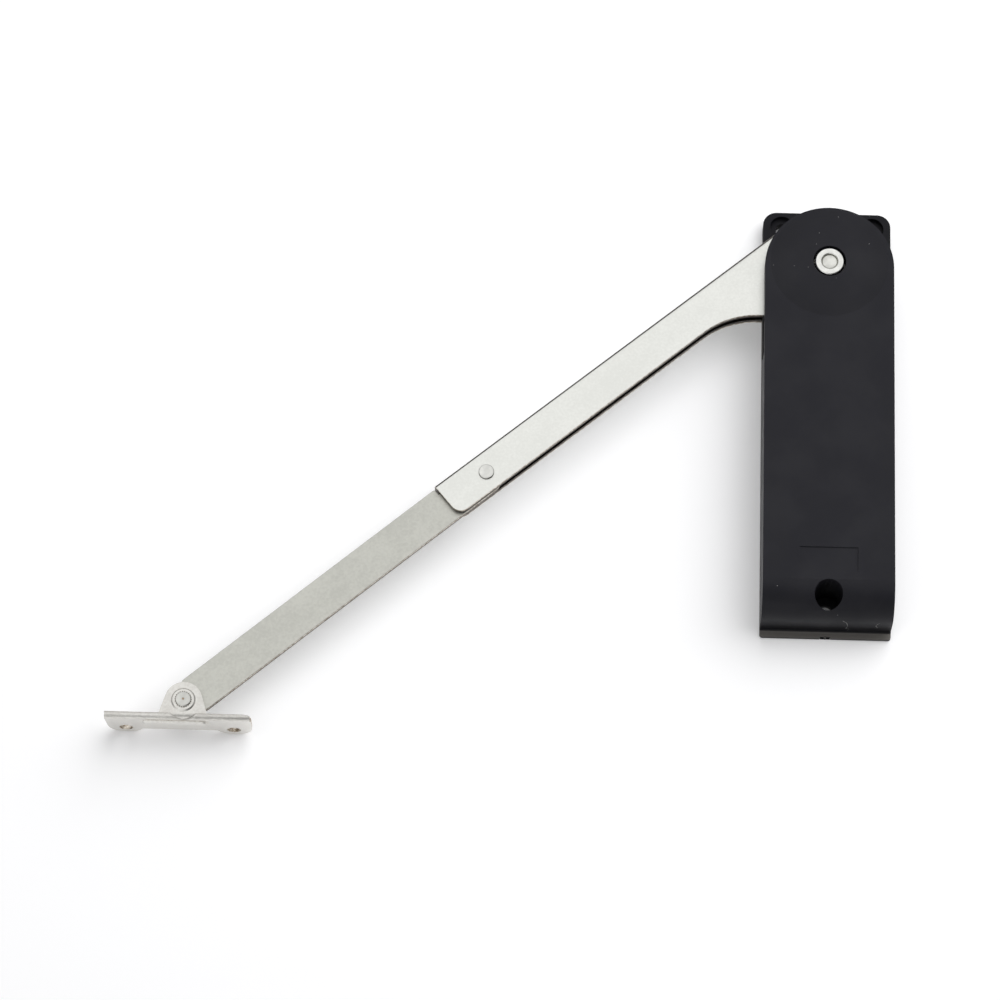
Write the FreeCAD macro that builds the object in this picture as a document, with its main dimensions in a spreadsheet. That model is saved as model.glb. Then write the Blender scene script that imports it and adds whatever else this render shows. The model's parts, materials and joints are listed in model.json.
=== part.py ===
import FreeCAD, Part
import math
import os
import re

import Sketcher
from FreeCAD import Placement, Rotation, Vector

# Lid stay: a damped case that is screwed to a cabinet side, a two-piece folding arm and a lid bracket.
# Frame: origin on the pivot axis in the mounting plane, +Y from the toe to the head of the case, +Z off
# the cabinet side. The arm points down and to the left, against its open stop.

# Every driving size, in millimetres or degrees.
SIZES = {
    # Case outline
    "case_width": 42.5,
    "case_height": 20.5,
    "case_wall": 2.0,
    "toe_length": 122.3,
    "toe_rounding": 11.0,
    "toe_lip_reach": 2.5,
    "toe_lip_thickness": 1.3,
    "toe_foot_radius": 1.2,
    "toe_notch_width": 3.4,
    "toe_notch_depth": 0.5,
    "head_arc_drop": 1.75,
    "crown_edge": 0.1,
    "crown_rise": 0.8,
    "logo_recess_width": 18.8,
    "logo_recess_height": 8.0,
    "logo_recess_depth": 0.35,
    "logo_recess_inset": 18.0,
    # Base plate
    "base_floor": 2.2,
    "base_rim": 5.5,
    "base_head": 24.1,
    "ear_corner_radius": 4.5,
    "toe_corner_radius": 1.0,
    "ear_hole_spacing": 30.0,
    "ear_hole_height": 18.8,
    "mounting_hole_radius": 2.0,
    "ear_bore_radius": 3.95,
    "ear_bore_depth": 2.0,
    "toe_hole_inset": 6.5,
    "toe_bore_radius": 4.55,
    "toe_tube_wall": 1.15,
    "cup_radius": 20.0,
    "cup_wall": 2.0,
    "cup_end": 7.0,
    "pivot_boss_radius": 7.0,
    "pivot_boss_height": 4.3,
    "rail_thickness": 1.6,
    "rail_height": 6.5,
    "rail_start": 22.0,
    "rail_end": 55.0,
    "cradle_thickness": 3.0,
    "cradle_wall": 1.0,
    "cradle_front": 69.0,
    "cradle_back_inset": 9.0,
    # Arm slot and its stop
    "slot_end": 17.85,
    "slot_clearance": 0.5,
    "cut_margin": 1.0,
    "stop_pad_length": 13.0,
    "stop_pad_proud": 0.4,
    "stop_pad_flange": 0.8,
    "stop_pad_flange_reach": 1.0,
    "stop_pad_margin": 0.2,
    # Case screws
    "case_screw_inset": 4.8,
    "case_screw_front": 58.0,
    "case_screw_toe_inset": 10.8,
    "case_screw_radius": 1.25,
    "case_screw_head_radius": 2.7,
    "case_screw_head_height": 1.2,
    "case_screw_length": 11.0,
    "case_screw_recess": 1.5,
    "case_screw_clearance": 0.15,
    "screw_pad_wall": 1.0,
    "screw_boss_radius": 2.7,
    "screw_boss_start": 4.0,
    # Pivot
    "pin_radius": 2.7,
    "pin_head_radius": 5.0,
    "pin_head_height": 1.7,
    "pin_end_recess": 0.6,
    "pin_chamfer": 0.4,
    "collar_radius": 4.85,
    "collar_top": 21.1,
    "collar_chamfer": 0.4,
    "collar_bore_chamfer": 0.2,
    "cover_hole_radius": 5.4,
    "cover_boss_radius": 7.4,
    "washer_thickness": 0.4,
    "washer_play": 0.05,
    "washer_inset": 0.2,
    "running_clearance": 0.05,
    "moving_clearance": 0.3,
    # Upper arm, a folded channel
    "arm_angle": 220.25,
    "arm_back": 9.0,
    "arm_height": 6.4,
    "arm_plate": 2.0,
    "arm_width": 12.7,
    "arm_web_offset": 20.75,
    "arm_length": 149.7,
    "arm_hub_radius": 20.0,
    "arm_blend": 5.5,
    "arm_end_radius": 3.5,
    "arm_edge_radius": 1.2,
    "root_edge_offset": 17.55,
    "root_fillet": 28.0,
    "elbow_inset": 16.13,
    "elbow_offset": 14.06,
    # Lower arm
    "elbow_play_angle": 0.5,
    "lower_thickness": 2.0,
    "lower_north": 6.6,
    "lower_south": 6.1,
    "lower_length": 124.0,
    "lower_rivet_shift": 0.6,
    "lower_inner_edge": 4.4,
    "lower_inner_rounding": 5.5,
    "shoulder_radius": 0.8,
    "lower_end_radius": 4.4,
    "lower_taper_length": 4.2,
    "lower_corner_radius": 3.0,
    # Rivets and bushes
    "rivet_radius": 1.9,
    "rivet_head_radius": 2.53,
    "rivet_head_height": 0.65,
    "rivet_head_chamfer": 0.25,
    "rivet_tail_radius": 2.9,
    "rivet_tail_height": 0.75,
    "rivet_tail_chamfer": 0.3,
    "bush_wall": 1.0,
    "cam_rivet_radius": 1.5,
    "cam_rivet_collar": 2.6,
    "cam_rivet_head": 2.3,
    "cam_rivet_head_height": 0.6,
    "cam_rivet_circle": 10.2,
    "cam_rivet_angle": 60.0,
    "hub_spacer_radius": 6.5,
    # Bracket
    "bracket_sheet": 1.5,
    "bracket_gap": 0.3,
    "bracket_face": 6.2,
    "bend_radius": 1.8,
    "tab_half_width": 7.7,
    "tab_radius": 6.0,
    "tab_boss_radius": 3.9,
    "tab_boss_height": 0.5,
    "tab_boss_chamfer": 0.45,
    "flange_hole_spacing": 34.6,
    "flange_shift": 1.35,
    "flange_hole_radius": 2.2,
    "flange_hole_height": 4.4,
    "lobe_radius": 5.8,
    "lobe_foot": 0.05,
    "flange_left_reach": 6.5,
    "flange_middle": 3.4,
    "flange_corner_radius": 3.2,
    "bead_length": 21.0,
    "bead_shift": 2.5,
    "bead_radius": 1.9,
    "bead_rise": 0.7,
    "bead_chamfer": 0.6,
    "bead_hollow_radius": 1.15,
    "bead_height": 10.6,
    # Cam, follower and slider
    "cam_thickness": 4.2,
    "cam_start": 11.5,
    "cam_lift": 8.0,
    "cam_turn": 130.0,
    "cam_run_in": 14.0,
    "cam_run_out": 8.0,
    "cam_lobe": 75.0,
    "cam_drop": 20.0,
    "cam_gap": 0.15,
    "roller_radius": 3.0,
    "roller_chamfer": 0.3,
    "nose_half_width": 6.5,
    "nose_lip": 0.7,
    "slider_half_width": 15.0,
    "slider_front": 24.0,
    "slider_back": 46.0,
    "slider_bottom": 2.6,
    "slider_top": 17.5,
    "slider_wall": 2.2,
    "slider_back_wall": 6.6,
    # Dampers and spring
    "damper_spacing": 16.0,
    "damper_height": 10.3,
    "damper_radius": 5.0,
    "damper_bore": 4.0,
    "damper_front": 62.0,
    "damper_toe_gap": 4.1,
    "damper_end_wall": 2.0,
    "gland_length": 4.0,
    "rod_radius": 1.5,
    "rod_seat": 2.0,
    "piston_reserve": 12.0,
    "piston_length": 4.0,
    "seat_clearance": 0.03,
    "spring_post_start": 60.0,
    "spring_post_thickness": 2.0,
    "spring_post_half_width": 2.6,
    "spring_post_height": 13.6,
    "spring_radius": 2.1,
    "spring_wire_radius": 0.4,
    "spring_turns": 5.0,
}

doc = FreeCAD.newDocument("lid_stay")
sheet = doc.addObject("Spreadsheet::Sheet", "sizes")
for row, (alias, size) in enumerate(SIZES.items(), start=1):
    sheet.set(f"A{row}", alias)
    sheet.set(f"B{row}", str(size))
    sheet.setAlias(f"B{row}", alias)
doc.recompute()

# Two places closer than this are the same, and a length below the second value is nothing.
SAME = 0.01
NOTHING = 1e-6
# Points that the cam's curve is drawn through, and flats round the spring's wire.
CAM_POINTS = 13
WIRE_FLATS = 6

# Heights and places that several pieces share, as expressions of the sheet's sizes.
ARM_TOP = "arm_back + arm_height"
SLOT_TOP = f"{ARM_TOP} + slot_clearance"
GAP_BACK = "arm_back + arm_plate"
GAP_TOP = f"{ARM_TOP} - arm_plate"
LOWER_BACK = "arm_back + (arm_height - lower_thickness) / 2"
LOWER_TOP = f"{LOWER_BACK} + lower_thickness"
TAB_BACK = f"{LOWER_TOP} + bracket_gap"
TAB_TOP = f"{TAB_BACK} + bracket_sheet"
ROOF = "case_height - case_wall"
CAM_BACK = "arm_back - cam_thickness"
HALF_WIDTH = "case_width / 2"
CROWN_RADIUS = f"({HALF_WIDTH} - head_arc_drop - crown_edge)"
TOE_HOLE = "(toe_length - toe_hole_inset)"
TOE_TUBE = "(toe_bore_radius + toe_tube_wall)"
DAMPER_END = f"({TOE_HOLE} - {TOE_TUBE} - damper_toe_gap)"
DAMPER_LENGTH = f"({DAMPER_END} - damper_front)"
PISTON_START = f"({DAMPER_END} - damper_end_wall - cam_lift - piston_length - piston_reserve)"
CRADLE_BACK = f"({DAMPER_END} - cradle_back_inset)"
CRADLE_HALF = "(damper_spacing / 2 + damper_radius + cradle_wall)"
ELBOW_ALONG = "(arm_length - elbow_inset)"
ELBOW_X = f"{ELBOW_ALONG} * cos(arm_angle) + elbow_offset * sin(arm_angle)"
ELBOW_Y = f"{ELBOW_ALONG} * sin(arm_angle) - elbow_offset * cos(arm_angle)"
LOWER_ANGLE = "arm_angle + elbow_play_angle"
RIVET_X = f"{ELBOW_X} + lower_length * cos({LOWER_ANGLE}) + lower_rivet_shift * sin({LOWER_ANGLE})"
RIVET_Y = f"{ELBOW_Y} + lower_length * sin({LOWER_ANGLE}) - lower_rivet_shift * cos({LOWER_ANGLE})"


def full(expression):
    """The expression with the sheet's name before each of its aliases."""
    def named(word):
        return f"sizes.{word[0]}" if word[0] in SIZES else word[0]
    return re.sub(r"\b[a-z_]+\b", named, expression)


def value(expression):
    """The number that an expression of the sizes stands for."""
    return float(sheet.evalExpression(full(expression)))


def new_body(name, x=None, y=None, angle=None):
    """An empty body, moved to x, y and turned about the vertical."""
    body = doc.addObject("PartDesign::Body", name)
    body.Label = name
    body.AllowCompound = True
    if angle:
        body.Placement = Placement(Vector(), Rotation(Vector(0, 0, 1), value(angle)))
        body.setExpression("Placement.Rotation.Angle", full(angle))
    if x:
        body.setExpression("Placement.Base.x", full(x))
        body.setExpression("Placement.Base.y", full(y))
    return body


def new_sketch(body, name, plane="XY_Plane", offset="0"):
    """A sketch on one of the body's own planes, moved along that plane's normal."""
    sketch = body.newObject("Sketcher::SketchObject", f"{body.Name}_{name}_sketch")
    origin_plane = next(item for item in body.Origin.OriginFeatures if item.Role == plane)
    sketch.AttachmentSupport = [(origin_plane, "")]
    sketch.MapMode = "FlatFace"
    sketch.AttachmentOffset = Placement(Vector(0, 0, value(offset)), Rotation())
    if offset != "0":
        sketch.setExpression("AttachmentOffset.Base.z", full(offset))
    return sketch


def constrain(sketch, kind, places, expression):
    """A dimension of the sketch, bound to an expression."""
    number = sketch.addConstraint(Sketcher.Constraint(kind, *places, value(expression)))
    sketch.setExpression(f"Constraints[{number}]", full(expression))


def place_point(sketch, geometry, point, x, y):
    """Hold one point of the sketch's geometry at x, y."""
    for kind, expression, axis in (("DistanceX", x, -2), ("DistanceY", y, -1)):
        if abs(value(expression)) < NOTHING:
            sketch.addConstraint(Sketcher.Constraint("PointOnObject", geometry, point, axis))
        else:
            constrain(sketch, kind, (-1, 1, geometry, point), expression)


def add_circle(sketch, x, y, radius):
    """A circle in the sketch."""
    centre = Vector(value(x), value(y), 0)
    circle = sketch.addGeometry(Part.Circle(centre, Vector(0, 0, 1), value(radius)), False)
    place_point(sketch, circle, 3, x, y)
    constrain(sketch, "Radius", (circle,), radius)


def add_outline(sketch, corners, arcs=None):
    """A closed outline through the corners; arcs maps an edge to its radius and side (1 left, -1 right)."""
    arcs = arcs or {}
    points = [Vector(value(x), value(y), 0) for x, y in corners]
    edges = []
    for index, start in enumerate(points):
        end = points[(index + 1) % len(points)]
        edge = Part.LineSegment(start, end)
        if index in arcs:
            radius, side = arcs[index]
            half = (end - start) * 0.5
            left = Vector(-half.y, half.x, 0).normalize()
            rise = value(radius) - math.sqrt(max(value(radius) ** 2 - half.Length ** 2, 0))
            edge = Part.Arc(start, start + half + left * (side * rise), end)
        edges.append(sketch.addGeometry(edge, False))
    for index, (x, y) in enumerate(corners):
        here, before = edges[index], edges[index - 1]
        start_point = first_point(sketch, here, points[index])
        end_point = 3 - first_point(sketch, before, points[index - 1])
        sketch.addConstraint(Sketcher.Constraint("Coincident", here, start_point, before, end_point))
        place_point(sketch, here, start_point, x, y)
        if index in arcs:
            constrain(sketch, "Radius", (here,), arcs[index][0])


def first_point(sketch, geometry, corner):
    """Which end of the edge lies at the corner that it starts from: 1 or 2."""
    return 1 if (sketch.getPoint(geometry, 1) - corner).Length < NOTHING else 2


def add_box(sketch, x_low, y_low, x_high, y_high):
    """A rectangle in the sketch."""
    add_outline(sketch, [(x_low, y_low), (x_high, y_low), (x_high, y_high), (x_low, y_high)])


def add_slot(sketch, x_low, x_high, y, radius):
    """A slot with round ends, along the sketch's first axis."""
    low, high = Vector(value(x_low), value(y), 0), Vector(value(x_high), value(y), 0)
    up = Vector(0, value(radius), 0)
    axis = Vector(0, 0, 1)
    half_turn = math.pi / 2
    ends = []
    for centre, start in ((high, -half_turn), (low, half_turn)):
        circle = Part.Circle(centre, axis, value(radius))
        ends.append(sketch.addGeometry(Part.ArcOfCircle(circle, start, start + math.pi)))
    sides = [sketch.addGeometry(Part.LineSegment(high + up, low + up)),
             sketch.addGeometry(Part.LineSegment(low - up, high - up))]
    for end, x in zip(ends, (x_high, x_low)):
        place_point(sketch, end, 3, x, y)
        constrain(sketch, "Radius", (end,), radius)
    for end, side in ((0, 0), (1, 1)):
        sketch.addConstraint(Sketcher.Constraint("Tangent", ends[end], 2, sides[side], 1))
        sketch.addConstraint(Sketcher.Constraint("Tangent", sides[side], 2, ends[1 - end], 1))


def extrude(body, kind, sketch, name, length, against):
    """A Pad or Pocket of the sketch; against turns it to the other side of the sketch's plane."""
    feature = body.newObject(f"PartDesign::{kind}", f"{body.Name}_{name}")
    feature.Profile = sketch
    feature.setExpression("Length", full(length))
    feature.Length = value(length)
    feature.Reversed = against
    doc.recompute()
    return feature


def pad(body, name, draw, length, plane="XY_Plane", offset="0"):
    """Add material from the sketched plane along its normal."""
    sketch = new_sketch(body, name, plane, offset)
    draw(sketch)
    return extrude(body, "Pad", sketch, name, length, False)


def pocket(body, name, draw, length, plane="XY_Plane", offset="0"):
    """Cut from the sketched plane along its normal."""
    before = body.Shape.Volume
    sketch = new_sketch(body, name, plane, offset)
    draw(sketch)
    feature = extrude(body, "Pocket", sketch, name, length, True)
    if body.Shape.Volume >= before - NOTHING:
        raise RuntimeError(f"{name} cuts nothing from {body.Name}")
    return feature


def edges_where(body, test):
    """Names of the body's edges that the test picks."""
    return [f"Edge{number}" for number, edge in enumerate(body.Tip.Shape.Edges, start=1) if test(edge)]


def upright_at(*places):
    """A test for straight upright edges at the places."""
    points = [(value(x), value(y)) for x, y in places]

    def test(edge):
        ends = [vertex.Point for vertex in edge.Vertexes]
        if len(ends) != 2 or abs(ends[0].z - ends[1].z) < SAME:
            return False
        if math.hypot(ends[0].x - ends[1].x, ends[0].y - ends[1].y) > SAME:
            return False
        return any(math.hypot(ends[0].x - x, ends[0].y - y) < SAME for x, y in points)
    return test


def dress(body, kind, name, test, size):
    """A Fillet or Chamfer on the edges that the test picks."""
    names = edges_where(body, test)
    if not names:
        raise RuntimeError(f"{name} finds no edge on {body.Name}")
    base = body.Tip
    feature = body.newObject(f"PartDesign::{kind}", f"{body.Name}_{name}")
    feature.Base = (base, names)
    target = "Radius" if kind == "Fillet" else "Size"
    setattr(feature, target, value(size))
    feature.setExpression(target, full(size))
    body.Tip = feature
    doc.recompute()
    if feature.Shape.isNull() or not feature.Shape.isValid():
        raise RuntimeError(f"{name} fails on {body.Name}")
    return feature


def turned(name, profile, x=None, y=None, arcs=None):
    """A body turned about the upright axis from a profile of radius and height."""
    body = new_body(name, x, y)
    sketch = new_sketch(body, "profile", "XZ_Plane")
    add_outline(sketch, profile, arcs)
    revolution = body.newObject("PartDesign::Revolution", f"{name}_turning")
    revolution.Profile = sketch
    revolution.ReferenceAxis = (sketch, ["V_Axis"])
    revolution.Angle = 360
    doc.recompute()
    return body


def ring(name, inner, outer, start, length, x=None, y=None):
    """A flat ring or bush."""
    return turned(name, [(inner, start), (outer, start), (outer, f"{start} + {length}"),
                         (inner, f"{start} + {length}")], x, y)


def at_both_sides(draw):
    """Draw the same thing left and right of the case's middle."""
    for side in ("-1", "1"):
        draw(side)


def screw_places():
    """Places of the four case screws."""
    for side in ("-1", "1"):
        for distance in ("case_screw_front", "(toe_length - case_screw_toe_inset)"):
            yield f"{side} * ({HALF_WIDTH} - case_screw_inset)", f"-{distance}"


def make_base_plate():
    """Moulded back shell: floor, rim, two ears, the cup that the cam turns in, and the damper cradles."""
    body = new_body("base_plate")
    low, high = f"-({HALF_WIDTH})", HALF_WIDTH
    ear, toe = "ear_corner_radius", "toe_corner_radius"
    tray = [(low, "-toe_length"), (high, "-toe_length"), (high, f"base_head - {ear}"),
            (f"{high} - {ear}", "base_head"), (f"{low} + {ear}", "base_head"), (low, f"base_head - {ear}")]
    pad(body, "tray", lambda s: add_outline(s, tray, {2: (ear, -1), 4: (ear, -1)}), "base_rim")
    lip_end = "-toe_length - toe_lip_reach"
    lip = [(low, "-toe_length + case_wall"), (low, f"{lip_end} + {toe}"), (f"{low} + {toe}", lip_end),
           (f"{high} - {toe}", lip_end), (high, f"{lip_end} + {toe}"), (high, "-toe_length + case_wall")]
    pad(body, "toe_lip", lambda s: add_outline(s, lip, {1: (toe, -1), 3: (toe, -1)}), "toe_lip_thickness")
    foot = "toe_foot_radius"

    def toe_foot(sketch):
        wall, top = "-toe_length", "toe_lip_thickness"
        corner = [(wall, top), (wall, f"{top} + {foot}"), (f"{wall} - {foot}", top)]
        add_outline(sketch, corner, {1: (foot, 1)})
    pad(body, "toe_foot", toe_foot, "case_width", "YZ_Plane", low)
    inside = f"{HALF_WIDTH} - case_wall"

    def tray_inside(sketch):
        add_box(sketch, f"-({inside})", "-toe_length + case_wall", inside, "-cup_end")
    pocket(body, "tray_inside", tray_inside, "base_rim - base_floor", offset="base_floor")
    pocket(body, "cup_inside", lambda s: add_circle(s, "0", "0", "cup_radius - cup_wall"),
           "base_rim - base_floor", offset="base_floor")

    def cup_wall(sketch):
        outer = "sqrt(cup_radius ^ 2 - cup_end ^ 2)"
        inner = "sqrt((cup_radius - cup_wall) ^ 2 - cup_end ^ 2)"
        add_ring_sector(sketch, inner, outer)
    pad(body, "cup_wall", cup_wall, "arm_back - moving_clearance - base_floor", offset="base_floor")
    pad(body, "pivot_boss", lambda s: add_circle(s, "0", "0", "pivot_boss_radius"),
        "pivot_boss_height - base_floor", offset="base_floor")

    def rails(sketch):
        def one(side):
            near = f"{side} * (slider_half_width + moving_clearance)"
            far = f"{side} * (slider_half_width + moving_clearance + rail_thickness)"
            ends = (near, far) if side == "1" else (far, near)
            add_box(sketch, ends[0], "-rail_end", ends[1], "-rail_start")
        at_both_sides(one)
    pad(body, "slider_rails", rails, "rail_height - base_floor", offset="base_floor")

    def cradles(sketch):
        for start in ("cradle_front", CRADLE_BACK):
            add_box(sketch, f"-{CRADLE_HALF}", f"-{start} - cradle_thickness", CRADLE_HALF, f"-{start}")
    pad(body, "cradles", cradles, "damper_height - moving_clearance - base_floor", offset="base_floor")
    pad(body, "spring_post", lambda s: add_box(s, "-spring_post_half_width",
                                               "-spring_post_start - spring_post_thickness",
                                               "spring_post_half_width", "-spring_post_start"),
        "spring_post_height - base_floor", offset="base_floor")

    def screw_pads(sketch):
        for x, y in screw_places():
            add_circle(sketch, x, y, "screw_boss_radius + screw_pad_wall")
    pad(body, "screw_pads", screw_pads, "screw_boss_start - seat_clearance - base_floor",
        offset="base_floor")

    def damper_seats(sketch):
        at_both_sides(lambda side: add_circle(sketch, f"{side} * damper_spacing / 2", "damper_height",
                                              "damper_radius + seat_clearance"))
    pocket(body, "damper_seats", damper_seats, DAMPER_LENGTH, "XZ_Plane", "damper_front")
    pocket(body, "pin_hole", lambda s: add_circle(s, "0", "0", "pin_radius"), "pivot_boss_height")
    pocket(body, "pin_head_seat", lambda s: add_circle(s, "0", "0", "pin_head_radius + seat_clearance"),
           "pin_head_height")

    def ear_circles(sketch, radius):
        at_both_sides(lambda side: add_circle(sketch, f"{side} * ear_hole_spacing / 2", "ear_hole_height",
                                              radius))
    pocket(body, "ear_holes", lambda s: ear_circles(s, "mounting_hole_radius"), "base_rim")
    pocket(body, "ear_bores", lambda s: ear_circles(s, "ear_bore_radius"), "ear_bore_depth",
           offset="base_rim - ear_bore_depth")
    pocket(body, "toe_hole", lambda s: add_circle(s, "0", f"-{TOE_HOLE}", "mounting_hole_radius"),
           "base_floor")

    def screw_holes(sketch, radius):
        for x, y in screw_places():
            add_circle(sketch, x, y, radius)
    pocket(body, "screw_holes", lambda s: screw_holes(s, "case_screw_radius + case_screw_clearance"),
           "screw_boss_start")
    pocket(body, "screw_head_seats",
           lambda s: screw_holes(s, "case_screw_head_radius + case_screw_clearance"), "case_screw_recess")

    def toe_notch(sketch):
        add_box(sketch, "-toe_notch_width / 2", lip_end,
                "toe_notch_width / 2", f"{lip_end} + toe_notch_depth")
    pocket(body, "toe_notch", toe_notch, "toe_lip_thickness")
    return body


def add_ring_sector(sketch, inner, outer):
    """The cup wall's plan: a ring open towards the toe, its ends level with the cup's end."""
    axis = Vector(0, 0, 1)
    arcs = []
    for radius, half in (("cup_radius", outer), ("cup_radius - cup_wall", inner)):
        tip = math.atan2(-value("cup_end"), value(half))
        circle = Part.Circle(Vector(), axis, value(radius))
        arc = sketch.addGeometry(Part.ArcOfCircle(circle, tip, math.pi - tip))
        sketch.addConstraint(Sketcher.Constraint("Coincident", arc, 3, -1, 1))
        constrain(sketch, "Radius", (arc,), radius)
        arcs.append(arc)
    for end, side in ((1, 1), (2, -1)):
        points = [Vector(side * value(half), -value("cup_end"), 0) for half in (outer, inner)]
        line = sketch.addGeometry(Part.LineSegment(points[0], points[1]))
        sketch.addConstraint(Sketcher.Constraint("Coincident", line, 1, arcs[0], end))
        sketch.addConstraint(Sketcher.Constraint("Coincident", line, 2, arcs[1], end))
        sketch.addConstraint(Sketcher.Constraint("Horizontal", line))
        constrain(sketch, "DistanceY", (-1, 1, line, 1), "-cup_end")


def make_front_cover():
    """Moulded front shell with a crowned head, a rounded toe, and the tube that the toe screw goes down."""
    body = new_body("front_cover")
    low, high, inside = f"-({HALF_WIDTH})", HALF_WIDTH, f"{HALF_WIDTH} - case_wall"
    height = "case_height - base_rim"
    drop = "-head_arc_drop"
    pad(body, "straight", lambda s: add_box(s, low, "-toe_length", high, drop), height, offset="base_rim")
    pad(body, "head", lambda s: add_circle(s, "0", drop, HALF_WIDTH), height, offset="base_rim")

    inner_round = "toe_rounding - case_wall"

    def cavity(sketch):
        wall = "-toe_length + case_wall"
        add_outline(sketch, [(drop, "base_rim"), (drop, ROOF), (f"{wall} + {inner_round}", ROOF),
                             (wall, f"{ROOF} - ({inner_round})"), (wall, "base_rim")],
                    {2: (inner_round, -1)})
    pocket(body, "cavity", cavity, "case_width - 2 * case_wall", "YZ_Plane", f"-({inside})")
    pocket(body, "head_cavity", lambda s: add_circle(s, "0", drop, inside), f"{ROOF} - base_rim",
           offset="base_rim")
    left, right = f"{low} - cut_margin", f"{high} + cut_margin"
    pocket(body, "arm_slot", lambda s: add_box(s, left, "-slot_end", right, "base_head"),
           f"{SLOT_TOP} - base_rim", offset="base_rim")
    pocket(body, "pad_window",
           lambda s: add_box(s, left, "-slot_end - stop_pad_length", f"-({inside})", "-slot_end"),
           "arm_height + 2 * stop_pad_margin", offset="arm_back - stop_pad_margin")
    pad(body, "pivot_boss", lambda s: add_circle(s, "0", "0", "cover_boss_radius"),
        f"{ROOF} - ({SLOT_TOP})", offset=SLOT_TOP)

    def bosses(sketch):
        for x, y in screw_places():
            add_circle(sketch, x, y, "screw_boss_radius")
    pad(body, "screw_bosses", bosses, f"{ROOF} - screw_boss_start", offset="screw_boss_start")
    pad(body, "damper_clamp",
        lambda s: add_box(s, f"-{CRADLE_HALF}", "-cradle_front - cradle_thickness",
                          CRADLE_HALF, "-cradle_front"),
        f"{ROOF} - damper_height - moving_clearance", offset="damper_height + moving_clearance")

    def damper_seats(sketch):
        at_both_sides(lambda side: add_circle(sketch, f"{side} * damper_spacing / 2", "damper_height",
                                              "damper_radius + seat_clearance"))
    pocket(body, "damper_seats", damper_seats, f"{DAMPER_LENGTH} / 2", "XZ_Plane", "damper_front")
    pad(body, "toe_tube", lambda s: add_circle(s, "0", f"-{TOE_HOLE}", TOE_TUBE),
        "case_height - base_floor - seat_clearance", offset="base_floor + seat_clearance")
    wall_inside = "-toe_length + case_wall + seat_clearance"
    pocket(body, "tube_flat",
           lambda s: add_box(s, f"-{TOE_TUBE}", "-toe_length - cut_margin", TOE_TUBE, wall_inside),
           "base_rim")

    def toe_round(sketch):
        wall, top, beyond = "-toe_length", "case_height", "-toe_length - cut_margin"
        above = f"{top} + cut_margin"
        add_outline(sketch, [(wall, f"{top} - toe_rounding"), (f"{wall} + toe_rounding", top),
                             (f"{wall} + toe_rounding", above), (beyond, above),
                             (beyond, f"{top} - toe_rounding")], {0: ("toe_rounding", 1)})
    pocket(body, "toe_round", toe_round, "case_width + 2 * cut_margin", "YZ_Plane", left)

    crown_sphere = f"({CROWN_RADIUS} ^ 2 + crown_rise ^ 2) / (2 * crown_rise)"
    sketch = new_sketch(body, "crown", "XZ_Plane")
    add_outline(sketch, [("0", "case_height"), (CROWN_RADIUS, "case_height"),
                         ("0", "case_height + crown_rise")], {1: (crown_sphere, -1)})
    crown = body.newObject("PartDesign::Revolution", "front_cover_crown")
    crown.Profile = sketch
    crown.ReferenceAxis = (sketch, ["V_Axis"])
    crown.Angle = 360
    doc.recompute()
    pocket(body, "pivot_hole", lambda s: add_circle(s, "0", "0", "cover_hole_radius"),
           f"case_height + crown_rise - ({SLOT_TOP})", offset=SLOT_TOP)
    pocket(body, "toe_bore", lambda s: add_circle(s, "0", f"-{TOE_HOLE}", "toe_bore_radius"),
           "case_height", offset="base_floor")

    def screw_holes(sketch):
        for x, y in screw_places():
            add_circle(sketch, x, y, "case_screw_radius")
    pocket(body, "screw_holes", screw_holes, "case_screw_length", offset="screw_boss_start")

    def logo_recess(sketch):
        centre = "-toe_length + logo_recess_inset"
        add_box(sketch, "-logo_recess_width / 2", f"{centre} - logo_recess_height / 2",
                "logo_recess_width / 2", f"{centre} + logo_recess_height / 2")
    pocket(body, "logo_recess", logo_recess, "logo_recess_depth", offset="case_height - logo_recess_depth")
    return body


def make_pivot():
    """Pivot pin with its head in the back, the collar pressed on its front end, and two thrust washers."""
    pin_end = "collar_top - pin_end_recess"
    pin = turned("pivot_pin", [("0", "0"), ("pin_head_radius", "0"), ("pin_head_radius", "pin_head_height"),
                               ("pin_radius", "pin_head_height"), ("pin_radius", f"{pin_end} - pin_chamfer"),
                               ("pin_radius - pin_chamfer", pin_end), ("0", pin_end)])
    start = f"{ARM_TOP} + washer_play"
    collar = turned("pin_collar", [("pin_radius", start), ("collar_radius", start),
                                   ("collar_radius", "collar_top - collar_chamfer"),
                                   ("collar_radius - collar_chamfer", "collar_top"),
                                   ("pin_radius + collar_bore_chamfer", "collar_top"),
                                   ("pin_radius", "collar_top - collar_bore_chamfer")])
    bore = "pin_radius + running_clearance"
    back = ring("back_washer", bore, "pivot_boss_radius", "pivot_boss_height + washer_play",
                "washer_thickness")
    front = ring("front_washer", "collar_radius + running_clearance", "cover_boss_radius - washer_inset",
                 start, "washer_thickness")
    return [pin, collar, back, front]


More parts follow.
